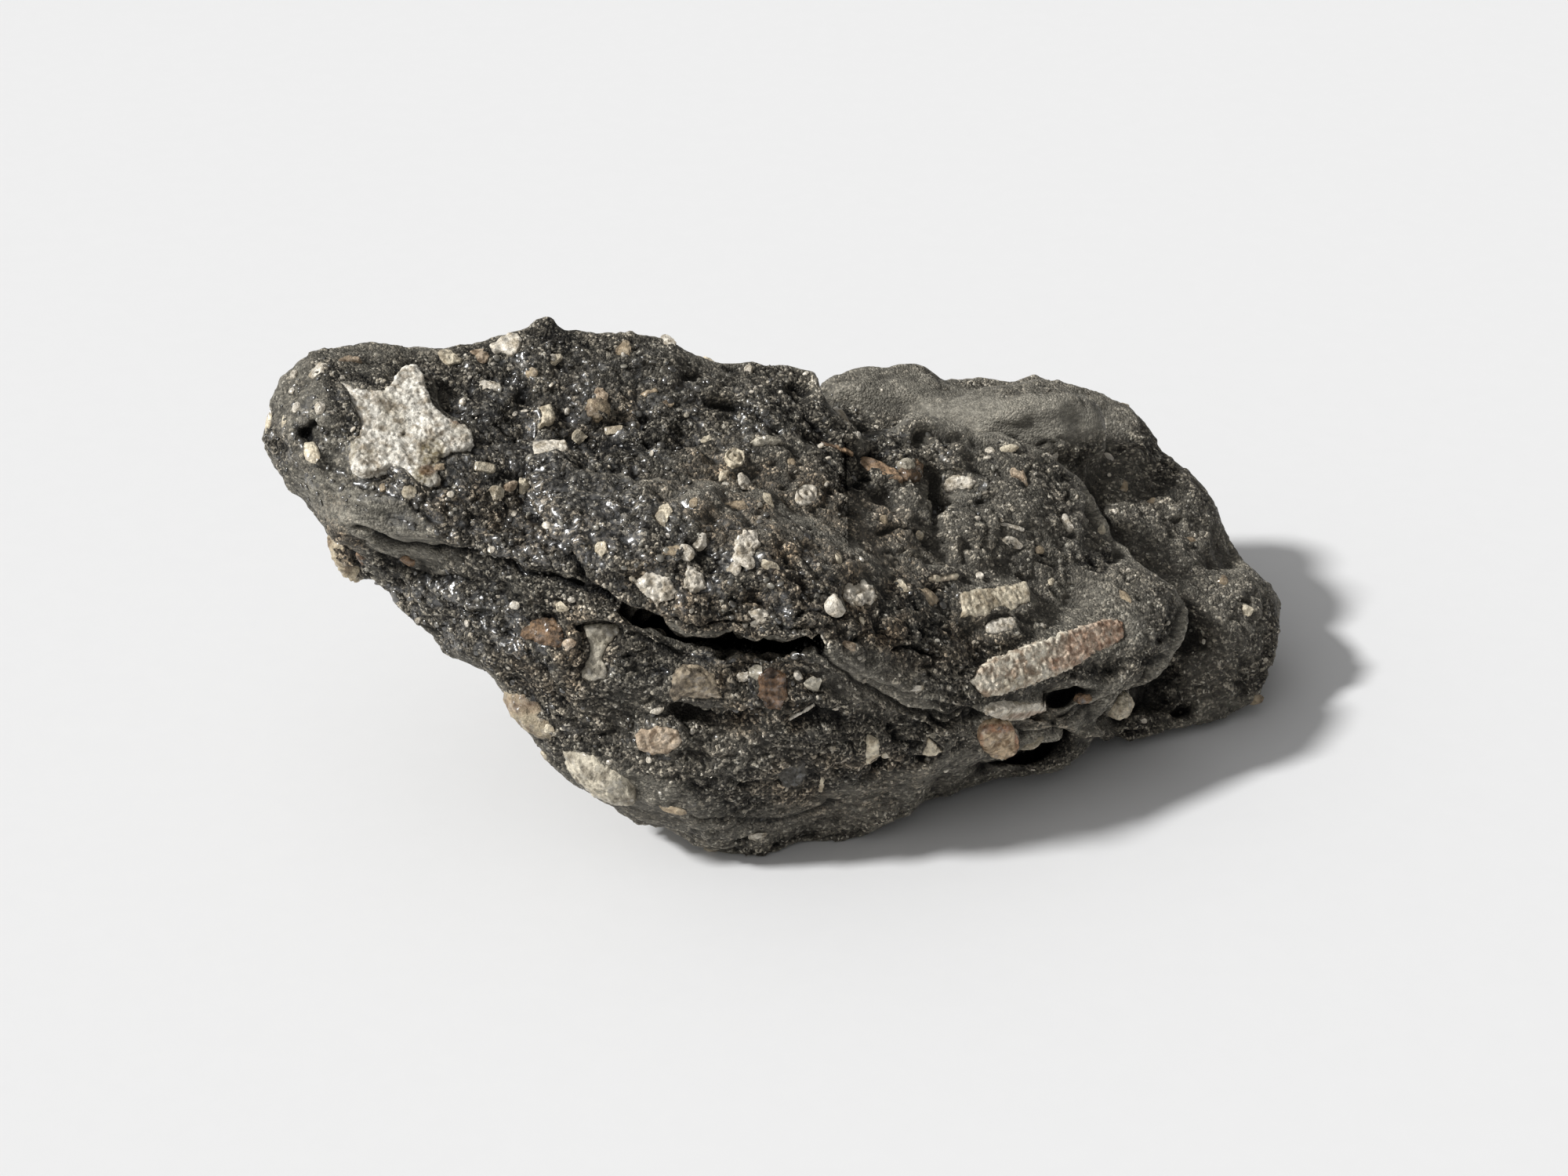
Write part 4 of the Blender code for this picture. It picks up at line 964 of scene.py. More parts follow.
def outline_of(node):
    """The outline of a flat fossil in the front view."""
    return OUTLINES[node][2] if node in OUTLINES else round_outline(*ROUNDS[node][2:])


class Seat:
    """The plane that a flat fossil lies in, and its outline there."""

    def __init__(self, middle, out, outline):
        across = (RIGHT - out * RIGHT.dot(out)).normalized()
        self.middle = np.array(middle)
        self.out = np.array(out)
        self.axes = np.array([across, out.cross(across), out])
        self.outline = np.array([self.flat_at(x, y) for x, y in outline])

    def flat_at(self, x, y):
        """A pixel's place in the plane."""
        point = on_plane(x, y, Vector(self.middle), Vector(self.out))
        return self.within(np.array(point)[None])[0, :2]

    def within(self, points):
        return (points - self.middle) @ self.axes.T

    def world(self, local):
        return local @ self.axes + self.middle


def add_plug(mesh, node, outward):
    """Adds a swollen, sunk copy of a fossil, which fills the gap around it in the skin."""
    data = plain_mesh(swollen(node, PLUG_SWELL, shift=outward * -PLUG_SINK), "plug")
    mesh.from_mesh(data)
    bpy.data.meshes.remove(data)


def carved(x, y, span, front):
    """How far the seams, ledges and hollows move each point along its normal."""
    moved = np.zeros(len(x))
    for line, half_width, depth in SEAMS:
        distance, _, ends = line_distance(x, y, line)
        moved -= depth * np.exp(-((distance * span / half_width) ** 2)) * np.clip(ends / 14, 0.3, 1)
    for line, height, reach in LEDGES:
        distance, side, ends = line_distance(x, y, line)
        distance = distance * span
        side = side if height > 0 else -side
        rise = abs(height) * np.clip(ends / 30, 0, 1)
        proud = rise * np.clip(distance / 0.25, 0, 1) * np.clip(1 - distance / reach, 0, 1)
        foot = -0.7 * rise * np.exp(-((distance / 0.5) ** 2))
        moved += np.where(side > 0, proud, foot)
    for *shape, depth in HOLLOWS:
        moved -= depth * np.exp(-1.2 * ellipse(x, y, *shape) ** 1.5)
    return moved * front


def seen_from_front(surface, normals, tree):
    """1 where a point shows in the front view and 0 where it is hidden."""
    found = np.zeros(len(surface.points))
    for index, (point, normal) in enumerate(zip(surface.points, normals)):
        start = Vector(point) + Vector(normal) * 0.15
        way = EYE - start
        if way.dot(Vector(normal)) > 0 and tree.ray_cast(start, way.normalized(), 100.0)[0] is None:
            found[index] = 1.0
    return found


def pit_field(points, length, width, share, offset):
    """Small pits strewn at random, 1 at their middles."""
    shift = Vector((offset, offset * 2, -offset))
    found = []
    for point in points:
        distances, centres = noise.voronoi(Vector(point) / length + shift)
        wanted = noise.cell(centres[0] * 7.3 + shift) < share
        found.append(math.exp(-((distances[0] * length / width) ** 2)) if wanted else 0.0)
    return np.array(found)


def ripple_field(points):
    """Short broken ripples of a damp surface, about one high either way."""
    across = np.array((-0.89, -0.39, -0.22))
    sway = crag_field(points, 0.9, 2, offset=5.0) * 4
    strength = np.clip(crag_field(points, 1.6, 2, offset=8.0) * 1.5 + 1.0, 0, 1)
    return np.sin(points @ across * (math.tau / 0.6) + sway) * strength


def crust(points, rough):
    """The height of the rock's broken crust: swells, lumps, grit and pits, all drawn out along the bedding."""
    warp = vector_field(points, 1.7) * 0.5
    bedding = np.array((RIGHT * math.cos(BED_TURN) - UP * math.sin(BED_TURN)).normalized())
    bent = points + warp
    bent = bent - bedding * ((bent @ bedding) * (1 - 1 / BED_STRETCH))[:, None]
    broad = crag_field(bent, 3.2, 4, 0.75) * 0.34
    ridges = np.array([noise.ridged_multi_fractal(Vector(p) / 2.6, 0.8, 2.1, 4, 1.0, 2.0) for p in bent])
    lumps = (cell_field(bent, 0.85) - 0.45) * 0.34
    small = (cell_field(bent, 0.42, 7.0) - 0.45) * 0.2
    pits = pit_field(bent, 1.5, 0.24, 0.4, 3.0) * 0.45 + pit_field(bent, 0.9, 0.15, 0.4, 9.0) * 0.3
    return broad * (0.35 + 0.65 * rough) + ((ridges - 1.1) * 0.2 + lumps + small - pits) * rough


def skin_mesh(settings):
    """The rock's surface with its gaps filled, its facets worn off, its relief and its marks."""
    noise.seed_set(NOISE_SEED)
    rock = merged_copy("matrix_rock")
    rock_tree = BVHTree.FromBMesh(rock)
    seats = {}
    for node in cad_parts:
        if node != "matrix_rock":
            middle, outward = facing_of(node, rock_tree)
            add_plug(rock, node, outward)
            if node in OUTLINES or node in ROUNDS:
                seats[node] = Seat(middle, outward, outline_of(node))
    surface = Surface(remeshed(rock, settings.cell / MM))
    surface.points = surface.averaged(surface.points, FACET_STEPS)
    normals = surface.normals()
    tree = tree_of(surface.mesh)
    front = surface.averaged(seen_from_front(surface, normals, tree), 4)
    x, y, span = pixels_of(surface.points)
    guess = np.clip(crag_field(surface.points, 9.0, 2, offset=3.0) * 1.2 + 0.1, 0, 1)
    sway = vector_field(surface.points, 1.3)
    x = x + sway[:, 0] * 7
    y = y + sway[:, 1] * 7
    facing = np.clip((normals @ -np.array(FORWARD) - 0.12) / 0.4, 0, 1) * front
    worn = np.maximum(area_mask(x, y, "worn") * front, (0.75 - 0.2 * guess) * (1 - facing))
    up = np.clip(normals @ np.array(TO_LIGHT.normalized()) * 1.5, 0, 1)
    damp = np.maximum(area_mask(x, y, "damp") * front * up, 0.12)
    warm = np.maximum(area_mask(x, y, "warm") * front, guess * 0.3 * (1 - front))
    rough = (1 - worn) ** 1.2
    bed = np.zeros(len(surface.points))
    drop = np.zeros(len(surface.points))
    for seat in seats.values():
        local = seat.within(surface.points)
        reach = np.abs(seat.outline).max() + 0.6
        near = np.nonzero((np.abs(local[:, :2]).max(1) < reach) & (np.abs(local[:, 2]) < 2.2))[0]
        inside = inside_distance(local[near, :2], seat.outline)
        bed[near] = np.maximum(bed[near], np.clip((inside + 0.45) / 0.35, 0, 1))
        cover = np.clip((inside + 0.3) / 0.26, 0, 1)
        level = 0.02 - 0.2 * np.clip(inside / 0.1 + 0.5, 0, 1)
        drop[near] = np.maximum(drop[near], cover * np.clip(local[near, 2] - level, 0, None))
    ripples = ripple_field(surface.points) * 0.075 * np.clip(damp * 1.4 - 0.2, 0, 1)
    relief = settings.relief * (crust(surface.points, rough) + ripples) * (1 - 0.85 * bed) - drop
    surface.points += normals * (relief + carved(x, y, span, front) * (1 - bed))[:, None]
    surface.points[:, 2] = np.maximum(surface.points[:, 2], LOWEST)
    height, broad_height = (surface.height(normals, steps) for steps in (CAVITY_STEPS, DEEP_STEPS))
    surface.store()
    marks = {
        "cavity": np.clip(height / 0.22, -1, 1),
        "deep": np.clip(broad_height / 0.5, -1, 1),
        "worn": worn,
        "damp": damp,
        "warm": warm,
        # Pale dust and painted light in the pale areas, less painted shade in the dark areas
        "dust": (area_mask(x, y, "pale") - area_mask(x, y, "dark")) * front,
        "wet": np.clip(damp - 0.15, 0, 1) * (1 - bed),
        "hidden": np.clip(1 - 8 * front, 0, 1),
        "grains": np.clip(rough**1.5 * (1 - bed) * (0.45 + 0.55 * damp), 0, 1),
    }
    for name, values in marks.items():
        surface.mark(name, values)
    surface.mesh.name = WHOLE_SKIN
    return surface.mesh


# ---------------------------------------------------------------- fossils


def weather(surface, roughness, seed):
    """Chips and pits a fossil's surface, and marks how high each point stands and its stains."""
    normals = surface.normals()
    size = np.ptp(surface.points, axis=0).max()
    coarse = crag_field(surface.points, min(max(size * 0.2, 0.5), 1.0), 4, 0.7, seed)
    cells = cell_field(surface.points, 0.42, seed) - 0.5
    grit = crag_field(surface.points, 0.2, 2, 0.6, seed + 2.0)
    moved = roughness * (1.2 * coarse + 1.0 * cells + 0.6 * grit) + 0.03 * ripple_field(surface.points)
    surface.points += normals * moved[:, None]
    surface.points[:, 2] = np.maximum(surface.points[:, 2], LOWEST)
    height = surface.height(normals, 12)
    surface.store()
    x, y, _ = pixels_of(surface.points)
    surface.mark("cavity", np.clip(height / 0.1, -1, 1))
    for stain in ("olive", "rusty"):
        surface.mark(stain, area_mask(x, y, stain))
    surface.mark("tone", np.full(len(surface.points), 0.6 + 0.35 * ((seed * 0.37) % 1.0)))


def flat_fossil(seat, cell, rise):
    """A broken plate of a fossil's outline, lying in its seat."""
    corners = []
    ends = np.roll(seat.outline, -1, axis=0)
    for start, end in zip(seat.outline, ends):
        count = max(int(np.linalg.norm(end - start) / 0.18), 1)
        for index in range(count):
            corner = start + (end - start) * index / count
            jitter = noise.noise_vector(Vector((*corner, rise)) / 0.3)
            corners.append(corner + np.array(jitter[:2]) * 0.05)
    corners = np.array(corners)
    count = len(corners)
    top = np.column_stack([corners, np.full(count, rise)])
    bottom = np.column_stack([corners * 1.02, np.full(count, -PLATE_DEPTH)])
    loop = list(range(count))
    faces = [loop, [count + index for index in reversed(loop)]]
    for index in loop:
        after = (index + 1) % count
        faces.append([index, count + index, count + after, after])
    data = bpy.data.meshes.new("plate")
    data.from_pydata(seat.world(np.concatenate([top, bottom])).tolist(), [], faces)
    mesh = bmesh.new()
    mesh.from_mesh(data)
    bpy.data.meshes.remove(data)
    bmesh.ops.recalc_face_normals(mesh, faces=mesh.faces)
    surface = Surface(remeshed(mesh, cell))
    surface.points = surface.averaged(surface.points, 3)
    local = seat.within(surface.points)
    inside = inside_distance(local[:, :2], seat.outline)
    top_share = np.clip((local[:, 2] + 0.2) / 0.3, 0, 1)
    rounding = -0.12 * np.exp(-np.clip(inside, 0, None) / 0.12)
    surface.points += seat.out * (rounding * top_share)[:, None]
    return surface, local, top_share


def node_seat(node):
    """The seat of a flat fossil that has a node."""
    rock = merged_copy("matrix_rock")
    middle, outward = facing_of(node, BVHTree.FromBMesh(rock))
    rock.free()
    return Seat(middle, outward, outline_of(node))


def press_star(local, seat):
    """How deep the canal's hole and the dip round it go in the star."""
    distance = np.linalg.norm(local[:, :2] - seat.flat_at(515, 552), axis=1)
    return 0.5 * np.exp(-((distance / 0.13) ** 2)) + 0.12 * np.exp(-((distance / 0.6) ** 2))


def press_round(local, seat):
    """How deep the canal and the groove round it go in a round section."""
    rim = np.linalg.norm(seat.outline, axis=1).mean()
    distance = np.linalg.norm(local[:, :2] - seat.outline.mean(0), axis=1) / rim
    return 0.16 * np.exp(-(((distance - 0.6) / 0.13) ** 2)) + 0.3 * np.exp(-((distance / 0.14) ** 2))


def weathered_piece(name, surface, look, seed, *nodes):
    """Weathers a fossil and makes it a piece of its finish."""
    finish, roughness = look
    weather(surface, roughness, seed)
    surface.mesh.shade_smooth()
    return piece_of(name, surface.mesh, finish_material(finish), FINISHES[finish][0], *nodes)


def add_plate(name, seat, look, seed, cell, press=None, rise=0.06, nodes=()):
    """A flat fossil made to its outline."""
    surface, local, top_share = flat_fossil(seat, cell, rise)
    if press:
        surface.points -= seat.out * (press(local, seat) * top_share)[:, None]
    return weathered_piece(name, surface, look, seed * 3.7 + 1.0, *nodes)


def add_rounded(node, seed, cell, swell):
    """A fossil that keeps its node's shape, swollen a little to meet the rock, and weathered."""
    *look, growth, stretch, turn = ROUNDED[node]
    surface = Surface(remeshed(swollen(node, swell, growth), cell))
    middle = surface.points.mean(0)
    for share, way in ((stretch - 1, turn), (stretch**-0.5 - 1, turn + 90)):
        angle = math.radians(way)
        way = np.array(RIGHT * math.cos(angle) - UP * math.sin(angle))
        surface.points += np.outer((surface.points - middle) @ way * share, way)
    surface.points = surface.averaged(surface.points, 2)
    return weathered_piece(node + "_fine", surface, look, seed * 3.7, node)


# ---------------------------------------------------------------- loose fragments


class Bits:
    """Collects small closed shapes into one mesh, with a tone for each."""

    def __init__(self):
        self.points = []
        self.faces = []
        self.tones = []
        self.count = 0

    def add(self, points, faces, tone):
        self.points.append(points)
        self.faces.extend([[index + self.count for index in face] for face in faces])
        self.tones.append(np.full(len(points), tone))
        self.count += len(points)

    def mesh(self, name):
        data = bpy.data.meshes.new(name)
        data.from_pydata(np.concatenate(self.points).tolist(), [], self.faces)
        data.update()
        marks = Surface(data)
        marks.mark("tone", np.concatenate(self.tones))
        return data


def ball(steps):
    """The points and faces of a unit ball."""
    mesh = bmesh.new()
    bmesh.ops.create_icosphere(mesh, subdivisions=steps, radius=1.0)
    points = np.array([vert.co for vert in mesh.verts])
    faces = [[vert.index for vert in face.verts] for face in mesh.faces]
    mesh.free()
    return points, faces


def chip_points(points, draw, planes=10):
    """A ball cut by random planes into a broken crystal."""
    found = points.copy()
    for _ in range(planes):
        normal = draw.normal(size=3)
        normal /= np.linalg.norm(normal)
        over = found @ normal - draw.uniform(0.5, 0.85)
        found -= np.clip(over, 0, None)[:, None] * normal
    return found / np.abs(found).max(0)


def bar_points(points):
    """A ball squared off into a bar with worn corners."""
    squared = np.sign(points) * np.abs(points) ** 0.32
    return squared / np.abs(squared).max(0)


def laid_frame(place, normal, turn):
    """Axes on the surface at a place: across and up as seen from the front, and out."""
    across = (RIGHT - normal * RIGHT.dot(normal)).normalized()
    rise = normal.cross(across)
    spin = Matrix.Rotation(math.radians(turn), 3, normal)
    return np.array([spin @ across, spin @ rise, normal])


def mean_normal(tree, x, y, spread):
    """The surface's normal at a pixel, averaged over a few pixels around it."""
    total = Vector()
    for right, down in ((0, 0), (1, 0), (-1, 0), (0, 1), (0, -1)):
        _, normal = seen_at(tree, x + right * spread, y + down * spread)
        if normal is not None:
            total += normal
    return total.normalized()


def add_fragment(bits, balls, tree, draw, x, y, width, height, turn=0, kind="chip"):
    """Lays one small fragment on the skin where the front view shows it."""
    place, _ = seen_at(tree, x, y)
    if place is None:
        return
    normal = mean_normal(tree, x, y, 7)
    scale = (place - EYE).dot(FORWARD) / FOCAL
    lean = max(normal.dot((EYE - place).normalized()), 0.45)
    size = np.array([width * scale / 2, height * scale / 2 / lean**0.5, 0.0])
    size[2] = min(size[0], size[1]) * 0.75
    base, faces = balls[max(width, height) > 17]
    if kind == "chip":
        shape = chip_points(base, draw)
        size = size * (1.1, 1.1, 0.6)
    else:
        shape = bar_points(base) if kind == "bar" else base.copy()
    shape = shape * size
    grain = np.array([noise.noise_vector(Vector(p) / 0.22 + Vector((x, y, 0))) for p in shape])
    shape += grain * size.min() * 0.3
    axes = laid_frame(place, normal, turn)
    world = shape @ axes + np.array(place) + axes[2] * (size[2] * 0.02)
    bits.add(world, faces, draw.uniform(0.25, 1.0))


# ---------------------------------------------------------------- scattered grains


# The scatter tree's inputs that are numbers, with their defaults
STREW_INPUTS = {
    "Density": 1e6,
    "Smallest": 0.0001,
    "Largest": 0.0003,
    "Flatness": 0.7,
    "Unevenness": 0.00005,
    "Subdivisions": 1,
    "Seed": 1,
}


def scatter_tree():
    """Geometry nodes that strew crystals over a surface, thickest where it is marked for them."""
    title = "Strew Crystals"
    if title in bpy.data.node_groups:
        return bpy.data.node_groups[title]
    tree = bpy.data.node_groups.new(title, "GeometryNodeTree")

    def socket(label, kind, way="INPUT"):
        return tree.interface.new_socket(label, in_out=way, socket_type="NodeSocket" + kind)

    socket("Geometry", "Geometry")
    for label, default in STREW_INPUTS.items():
        socket(label, "Int" if isinstance(default, int) else "Float").default_value = default
    socket("Where", "String")
    socket("Material", "Material")
    socket("Geometry", "Geometry", "OUTPUT")
    nodes = Nodes(tree)
    given = nodes.add("NodeGroupInput").outputs

    def draw(step, *span):
        """A random value, or a vector between two, from a seed of its own."""
        values = {**dict(enumerate(span)), "Seed": nodes.math("ADD", given["Seed"], step)}
        kind = "FLOAT_VECTOR" if span else "FLOAT"
        drawn = nodes.add("FunctionNodeRandomValue", values, data_type=kind)
        return drawn.outputs[0 if span else 1]

    where = nodes.add("GeometryNodeInputNamedAttribute", {"Name": given["Where"]}, data_type="FLOAT")
    density = nodes.math("MULTIPLY", given["Density"], where)
    values = {"Mesh": given["Geometry"], "Density": density, "Seed": given["Seed"]}
    spread = nodes.add("GeometryNodeDistributePointsOnFaces", values, distribute_method="RANDOM")
    ball_node = nodes.add("GeometryNodeMeshIcoSphere", {"Radius": 1.0, "Subdivisions": given["Subdivisions"]})
    size = nodes.between(nodes.math("POWER", draw(0), 1.8), given["Smallest"], given["Largest"])
    thin = nodes.add("ShaderNodeCombineXYZ", {0: 1.0, 1: 1.0, 2: given["Flatness"]})
    flat = nodes.vector("MULTIPLY", draw(5, (0.6, 0.6, 0.55), (1.25, 1.25, 1.0)), thin)
    turn = nodes.add("FunctionNodeEulerToRotation", {0: draw(9, (-0.6, -0.6, -3.14), (0.6, 0.6, 3.14))})
    values = {0: spread.outputs["Rotation"], 1: turn}
    spin = nodes.add("FunctionNodeRotateRotation", values, rotation_space="LOCAL")
    values = {"Points": spread, "Instance": ball_node, "Rotation": spin, "Scale": nodes.times(flat, size)}
    placed = nodes.add("GeometryNodeInstanceOnPoints", values)
    values = {"Geometry": placed, "Name": "tone", "Value": draw(13)}
    toned = nodes.add("GeometryNodeStoreNamedAttribute", values, data_type="FLOAT", domain="INSTANCE")
    real = nodes.add("GeometryNodeRealizeInstances", {"Geometry": toned})
    wobble = nodes.add("ShaderNodeTexNoise", {"Scale": 4200.0, "Detail": 1.0}).outputs["Color"]
    uneven = nodes.times(nodes.vector("SUBTRACT", wobble, (0.5, 0.5, 0.5)), given["Unevenness"])
    moved = nodes.add("GeometryNodeSetPosition", {"Geometry": real, "Offset": uneven})
    x, y, z = nodes.add("ShaderNodeSeparateXYZ", {0: nodes.add("GeometryNodeInputPosition")}).outputs
    above = nodes.add("ShaderNodeCombineXYZ", {0: x, 1: y, 2: nodes.math("MAXIMUM", z, LOWEST_GRAIN)})
    kept = nodes.add("GeometryNodeSetPosition", {"Geometry": moved, "Position": above})
    dressed = nodes.add("GeometryNodeSetMaterial", {"Geometry": kept, "Material": given["Material"]})
    nodes.add("NodeGroupOutput", {"Geometry": dressed})
    return tree


def scatter_piece(name, material, slot, values, smooth):
    """A piece of the crystals that the scatter tree makes on the skin."""
    carrier_mesh = bpy.data.meshes[WHOLE_SKIN].copy()
    carrier_mesh.transform(Matrix.Scale(MM, 4))
    carrier = linked("carrier", carrier_mesh)
    scatter = carrier.modifiers.new("crystals", "NODES")
    scatter.node_group = scatter_tree()
    sockets = {item.name: item.identifier for item in scatter.node_group.interface.items_tree}
    for label, value in {**values, "Material": material}.items():
        scatter[sockets[label]] = value
    mesh = modified(carrier)
    if smooth:
        mesh.shade_smooth()
    mesh.transform(Matrix.Scale(1 / MM, 4))
    return piece_of(name, mesh, material, slot)


# ---------------------------------------------------------------- settings


def length_setting(name, description, default, precision=5):
    return bpy.props.FloatProperty(
        name=name, description=description, default=default, unit="LENGTH", precision=precision
    )


def amount_setting(name, description, default):
    return bpy.props.FloatProperty(name=name, description=description, default=default, min=0.0)


def colour_setting(name, description, default):
    return bpy.props.FloatVectorProperty(name=name, description=description, subtype="COLOR", default=default)


class LumpSettings(bpy.types.PropertyGroup):
    cell: length_setting("Face Size", "Size of the skin's faces", 0.00017)
    relief: amount_setting("Relief", "Share of the full roughness of the skin", 1.0)
    dark_colour: colour_setting("Dark Grains", "Colour of the darkest grains", (0.024, 0.022, 0.018))
    middle_colour: colour_setting("Middle Grains", "Colour of most grains", (0.138, 0.125, 0.1))
    light_colour: colour_setting("Light Grains", "Colour of the light grains", (0.36, 0.325, 0.26))
    worn_dark: colour_setting("Worn Dark", "Darker streaks of worn rock", (0.08, 0.075, 0.062))
    worn_light: colour_setting("Worn Light", "Lighter streaks of worn rock", (0.37, 0.345, 0.285))


class GrainSettings(bpy.types.PropertyGroup):
    density: amount_setting("Density", "Grains on each square millimetre of rough rock", 0.7)
    smallest: length_setting("Smallest", "Radius of the smallest grains", 0.00004)
    largest: length_setting("Largest", "Radius of the largest grains", 0.00014)
    ossicles: amount_setting("Ossicles", "Small fossils on each square millimetre of the hidden sides", 0.04)
    specks: amount_setting("Specks", "Tiny pale chips on each square millimetre of rough rock", 0.22)
    wet: amount_setting("Wet Grains", "Wet, shiny grains on each square millimetre of damp rock", 2.3)
    seed: bpy.props.IntProperty(name="Seed", description="Start of the random draw", default=11)


class FossilSettings(bpy.types.PropertyGroup):
    cell: length_setting("Face Size", "Size of the fossils' faces", 0.00008, 6)
    swell: length_setting("Swell", "How far the fossils grow to meet the rock", 0.00016)


class StageSettings(bpy.types.PropertyGroup):
    key: amount_setting("Key Light", "Strength of the key light", 3.46)
    soft: amount_setting("Soft Light", "Strength of the broad light", 0.95)
    fill: amount_setting("Fill Light", "Strength of the light all round", 0.17)
    floor_colour: colour_setting("Floor", "Colour of the floor", (0.785, 0.785, 0.785))


# ---------------------------------------------------------------- operators


class FOSSIL_OT_skin(bpy.types.Operator):
    """Make the rock's rough skin"""

    bl_idname = "fossil.skin"
    bl_label = "Limestone Skin"

    def execute(self, context):
        settings = context.scene.fossil_lump
        whole = skin_mesh(settings)
        whole.shade_smooth()
        material = skin_material(settings)
        names = ("left", "middle_left", "middle_right", "right")
        for name, mesh in zip(names, blocks_of(whole, SKIN_CUTS)):
            piece_of(f"limestone_{name}", mesh, material, "dark_limestone", "matrix_rock")
        return {"FINISHED"}


class FOSSIL_OT_star(bpy.types.Operator):
    """Make the star-shaped stem section"""

    bl_idname = "fossil.star"
    bl_label = "Star Columnal"

    def execute(self, context):
        cell = context.scene.fossil_pieces.cell / MM
        node = "star_columnal"
        add_plate(node + "_fine", node_seat(node), OUTLINES[node][:2], 0, cell, press_star, 0.14, (node,))
        return {"FINISHED"}


class FOSSIL_OT_plates(bpy.types.Operator):
    """Make the long stem fragment, the bars, plates and chips that are made to their outlines"""

    bl_idname = "fossil.plates"
    bl_label = "Stem Pieces and Plates"

    def execute(self, context):
        cell = context.scene.fossil_pieces.cell / MM
        for seed, node in enumerate(OUTLINES):
            if node != "star_columnal":
                add_plate(node + "_fine", node_seat(node), OUTLINES[node][:2], seed, cell, nodes=(node,))
        tree = skin_tree()
        for seed, (name, (finish, roughness, outline)) in enumerate(LOOSE_PLATES.items()):
            x, y = np.mean(outline, axis=0)
            place, _ = seen_at(tree, x, y)
            if place is None:
                raise RuntimeError(name + " isn't over the rock")
            seat = Seat(place, mean_normal(tree, x, y, 10), outline)
            add_plate(name, seat, (finish, roughness), seed + 40, cell, rise=0.12)
        return {"FINISHED"}


class FOSSIL_OT_rounds(bpy.types.Operator):
    """Make the round sections of stem"""

    bl_idname = "fossil.rounds"
    bl_label = "Round Sections"

    def execute(self, context):
        cell = context.scene.fossil_pieces.cell / MM
        for seed, node in enumerate(ROUNDS):
            look = ROUNDS[node][:2]
            add_plate(node + "_fine", node_seat(node), look, seed + 30, cell, press_round, 0.1, (node,))
        return {"FINISHED"}


class FOSSIL_OT_rounded(bpy.types.Operator):
    """Make the nodules and crystals"""

    bl_idname = "fossil.rounded"
    bl_label = "Nodules and Crystals"

    def execute(self, context):
        settings = context.scene.fossil_pieces
        for seed, node in enumerate(ROUNDED):
            add_rounded(node, seed, settings.cell / MM, settings.swell / MM)
        return {"FINISHED"}


class FOSSIL_OT_fragments(bpy.types.Operator):
    """Make the small fragments of the face"""

    bl_idname = "fossil.fragments"
    bl_label = "Small Fragments"

    def execute(self, context):
        noise.seed_set(NOISE_SEED)
        tree = skin_tree()
        draw = np.random.default_rng(4)
        balls = (ball(2), ball(3))
        for finish, rows in FRAGMENTS.items():
            bits = Bits()
            for row in rows:
                add_fragment(bits, balls, tree, draw, *row)
            mesh = bits.mesh(f"{finish}_fragments")
            piece_of(f"{finish}_fragments", mesh, finish_material(finish), FINISHES[finish][0])
        return {"FINISHED"}


class FOSSIL_OT_grains(bpy.types.Operator):
    """Strew the rock's grains over its skin"""

    bl_idname = "fossil.grains"
    bl_label = "Rock Grains"

    def execute(self, context):
        settings = context.scene.fossil_grains
        grains = (settings.density, settings.smallest, settings.largest, 0.8, 0.0001, 1)
        kinds = {
            "dark_grains": (GRAIN_LOOKS["dark"], "grains", 0, *grains),
            "grey_grains": (GRAIN_LOOKS["grey"], "grains", 1, *grains),
            "brown_grains": (GRAIN_LOOKS["brown"], "grains", 2, *grains),
            "hidden_ossicles": ("cream", "hidden", 5, settings.ossicles, 0.0002, 0.001, 0.4, 0.00016, 3),
            "pale_specks": ("white", "grains", 5, settings.specks, 0.00005, 0.00028, 0.6, 0.00008, 2),
            "wet_grains": (GRAIN_LOOKS["wet"], "wet", 7, settings.wet, 0.0001, 0.00026, 0.6, 0.00004, 2),
        }
        for name, (look, mark, step, *values) in kinds.items():
            inputs = dict(zip(STREW_INPUTS, values), Where=mark, Seed=settings.seed + step)
            inputs["Density"] *= PER_SQUARE_MM
            if look in FINISHES:
                material, slot = finish_material(look), FINISHES[look][0]
            else:
                material, slot = grain_material(name + "_finish", *look), "dark_limestone"
            scatter_piece(name, material, slot, inputs, name == "wet_grains")
        return {"FINISHED"}


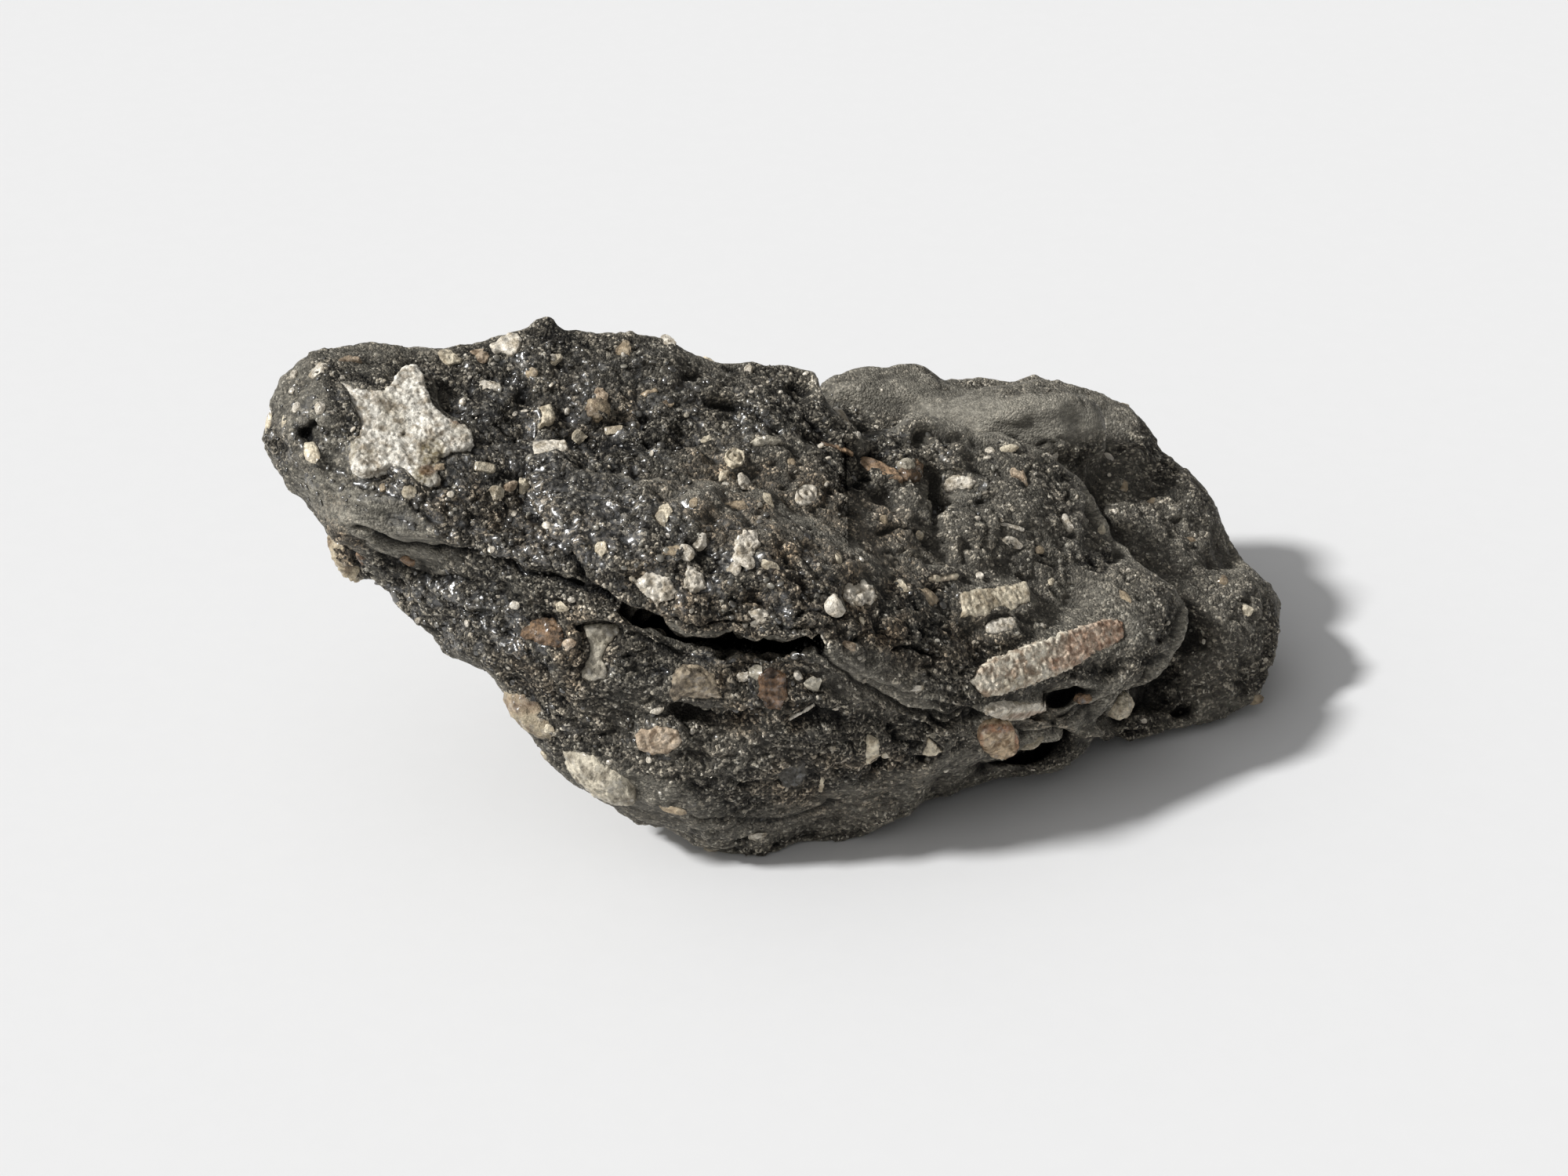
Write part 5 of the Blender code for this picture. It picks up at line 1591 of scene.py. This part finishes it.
class FOSSIL_OT_stage(bpy.types.Operator):
    """Set the floor, the lights and the camera"""

    bl_idname = "fossil.stage"
    bl_label = "Stage"

    def execute(self, context):
        settings = context.scene.fossil_stage
        scene = context.scene
        sheet = bmesh.new()
        bmesh.ops.create_grid(sheet, x_segments=1, y_segments=1, size=FLOOR_SIZE)
        floor = linked("floor", plain_mesh(sheet, "floor"))
        made, nodes, shader, place = new_material("pale_floor")
        fine = nodes.noise(nodes.scaled(place, 0.002), 1.0, 4.0, 0.6)
        low = tuple(channel * 0.99 for channel in settings.floor_colour)
        colour = nodes.blend(nodes.fit(fine, 0.3, 0.7), low, tuple(settings.floor_colour))
        nodes.feed(shader, {"Base Color": colour, "Roughness": 0.9, "Specular IOR Level": 0.1})
        floor.data.materials.append(made)
        for name, strength, angle in (("key", settings.key, KEY_ANGLE), ("soft", settings.soft, SOFT_ANGLE)):
            light = bpy.data.lights.new(name, "SUN")
            light.energy = strength
            light.angle = math.radians(angle)
            lamp = linked(name, light)
            lamp.rotation_mode = "QUATERNION"
            lamp.rotation_quaternion = (-TO_LIGHT).to_track_quat("-Z", "Y")
        world = bpy.data.worlds.new("soft_room")
        world.use_nodes = True
        background = world.node_tree.nodes["Background"]
        background.inputs["Color"].default_value = (1.0, 1.0, 1.0, 1.0)
        background.inputs["Strength"].default_value = settings.fill
        scene.world = world
        camera = bpy.data.cameras.new("front_view")
        camera.lens = LENS
        camera.sensor_width = SENSOR
        camera.clip_start = 0.005
        camera.clip_end = 20.0
        eye = linked("front_view", camera)
        eye.location = EYE * MM
        eye.rotation_mode = "QUATERNION"
        eye.rotation_quaternion = FORWARD.to_track_quat("-Z", "Y")
        scene.camera = eye
        scene.view_settings.view_transform = "Standard"
        return {"FINISHED"}


OPERATORS = (
    FOSSIL_OT_stage,
    FOSSIL_OT_skin,
    FOSSIL_OT_star,
    FOSSIL_OT_plates,
    FOSSIL_OT_rounds,
    FOSSIL_OT_rounded,
    FOSSIL_OT_fragments,
    FOSSIL_OT_grains,
)
SETTINGS = (
    ("fossil_lump", LumpSettings),
    ("fossil_grains", GrainSettings),
    ("fossil_pieces", FossilSettings),
    ("fossil_stage", StageSettings),
)


class FOSSIL_PT_panel(bpy.types.Panel):
    """Lists the fossil's settings and its pieces in the order of making"""

    bl_idname = "FOSSIL_PT_panel"
    bl_label = "Crinoid Stem Fossil"
    bl_space_type = "VIEW_3D"
    bl_region_type = "UI"
    bl_category = "Fossil"

    def draw(self, context):
        for name, group in SETTINGS:
            box = self.layout.box()
            for label in group.__annotations__:
                box.prop(getattr(context.scene, name), label)
        for operator in OPERATORS:
            self.layout.operator(operator.bl_idname)


def register():
    for name, group in SETTINGS:
        bpy.utils.register_class(group)
        setattr(bpy.types.Scene, name, bpy.props.PointerProperty(type=group))
    for operator in OPERATORS:
        bpy.utils.register_class(operator)
    bpy.utils.register_class(FOSSIL_PT_panel)


def unregister():
    bpy.utils.unregister_class(FOSSIL_PT_panel)
    for operator in reversed(OPERATORS):
        bpy.utils.unregister_class(operator)
    for name, group in reversed(SETTINGS):
        delattr(bpy.types.Scene, name)
        bpy.utils.unregister_class(group)


def main():
    register()
    for operator in OPERATORS:
        group, name = operator.bl_idname.split(".")
        getattr(getattr(bpy.ops, group), name)()


if __name__ == "__main__":
    main()
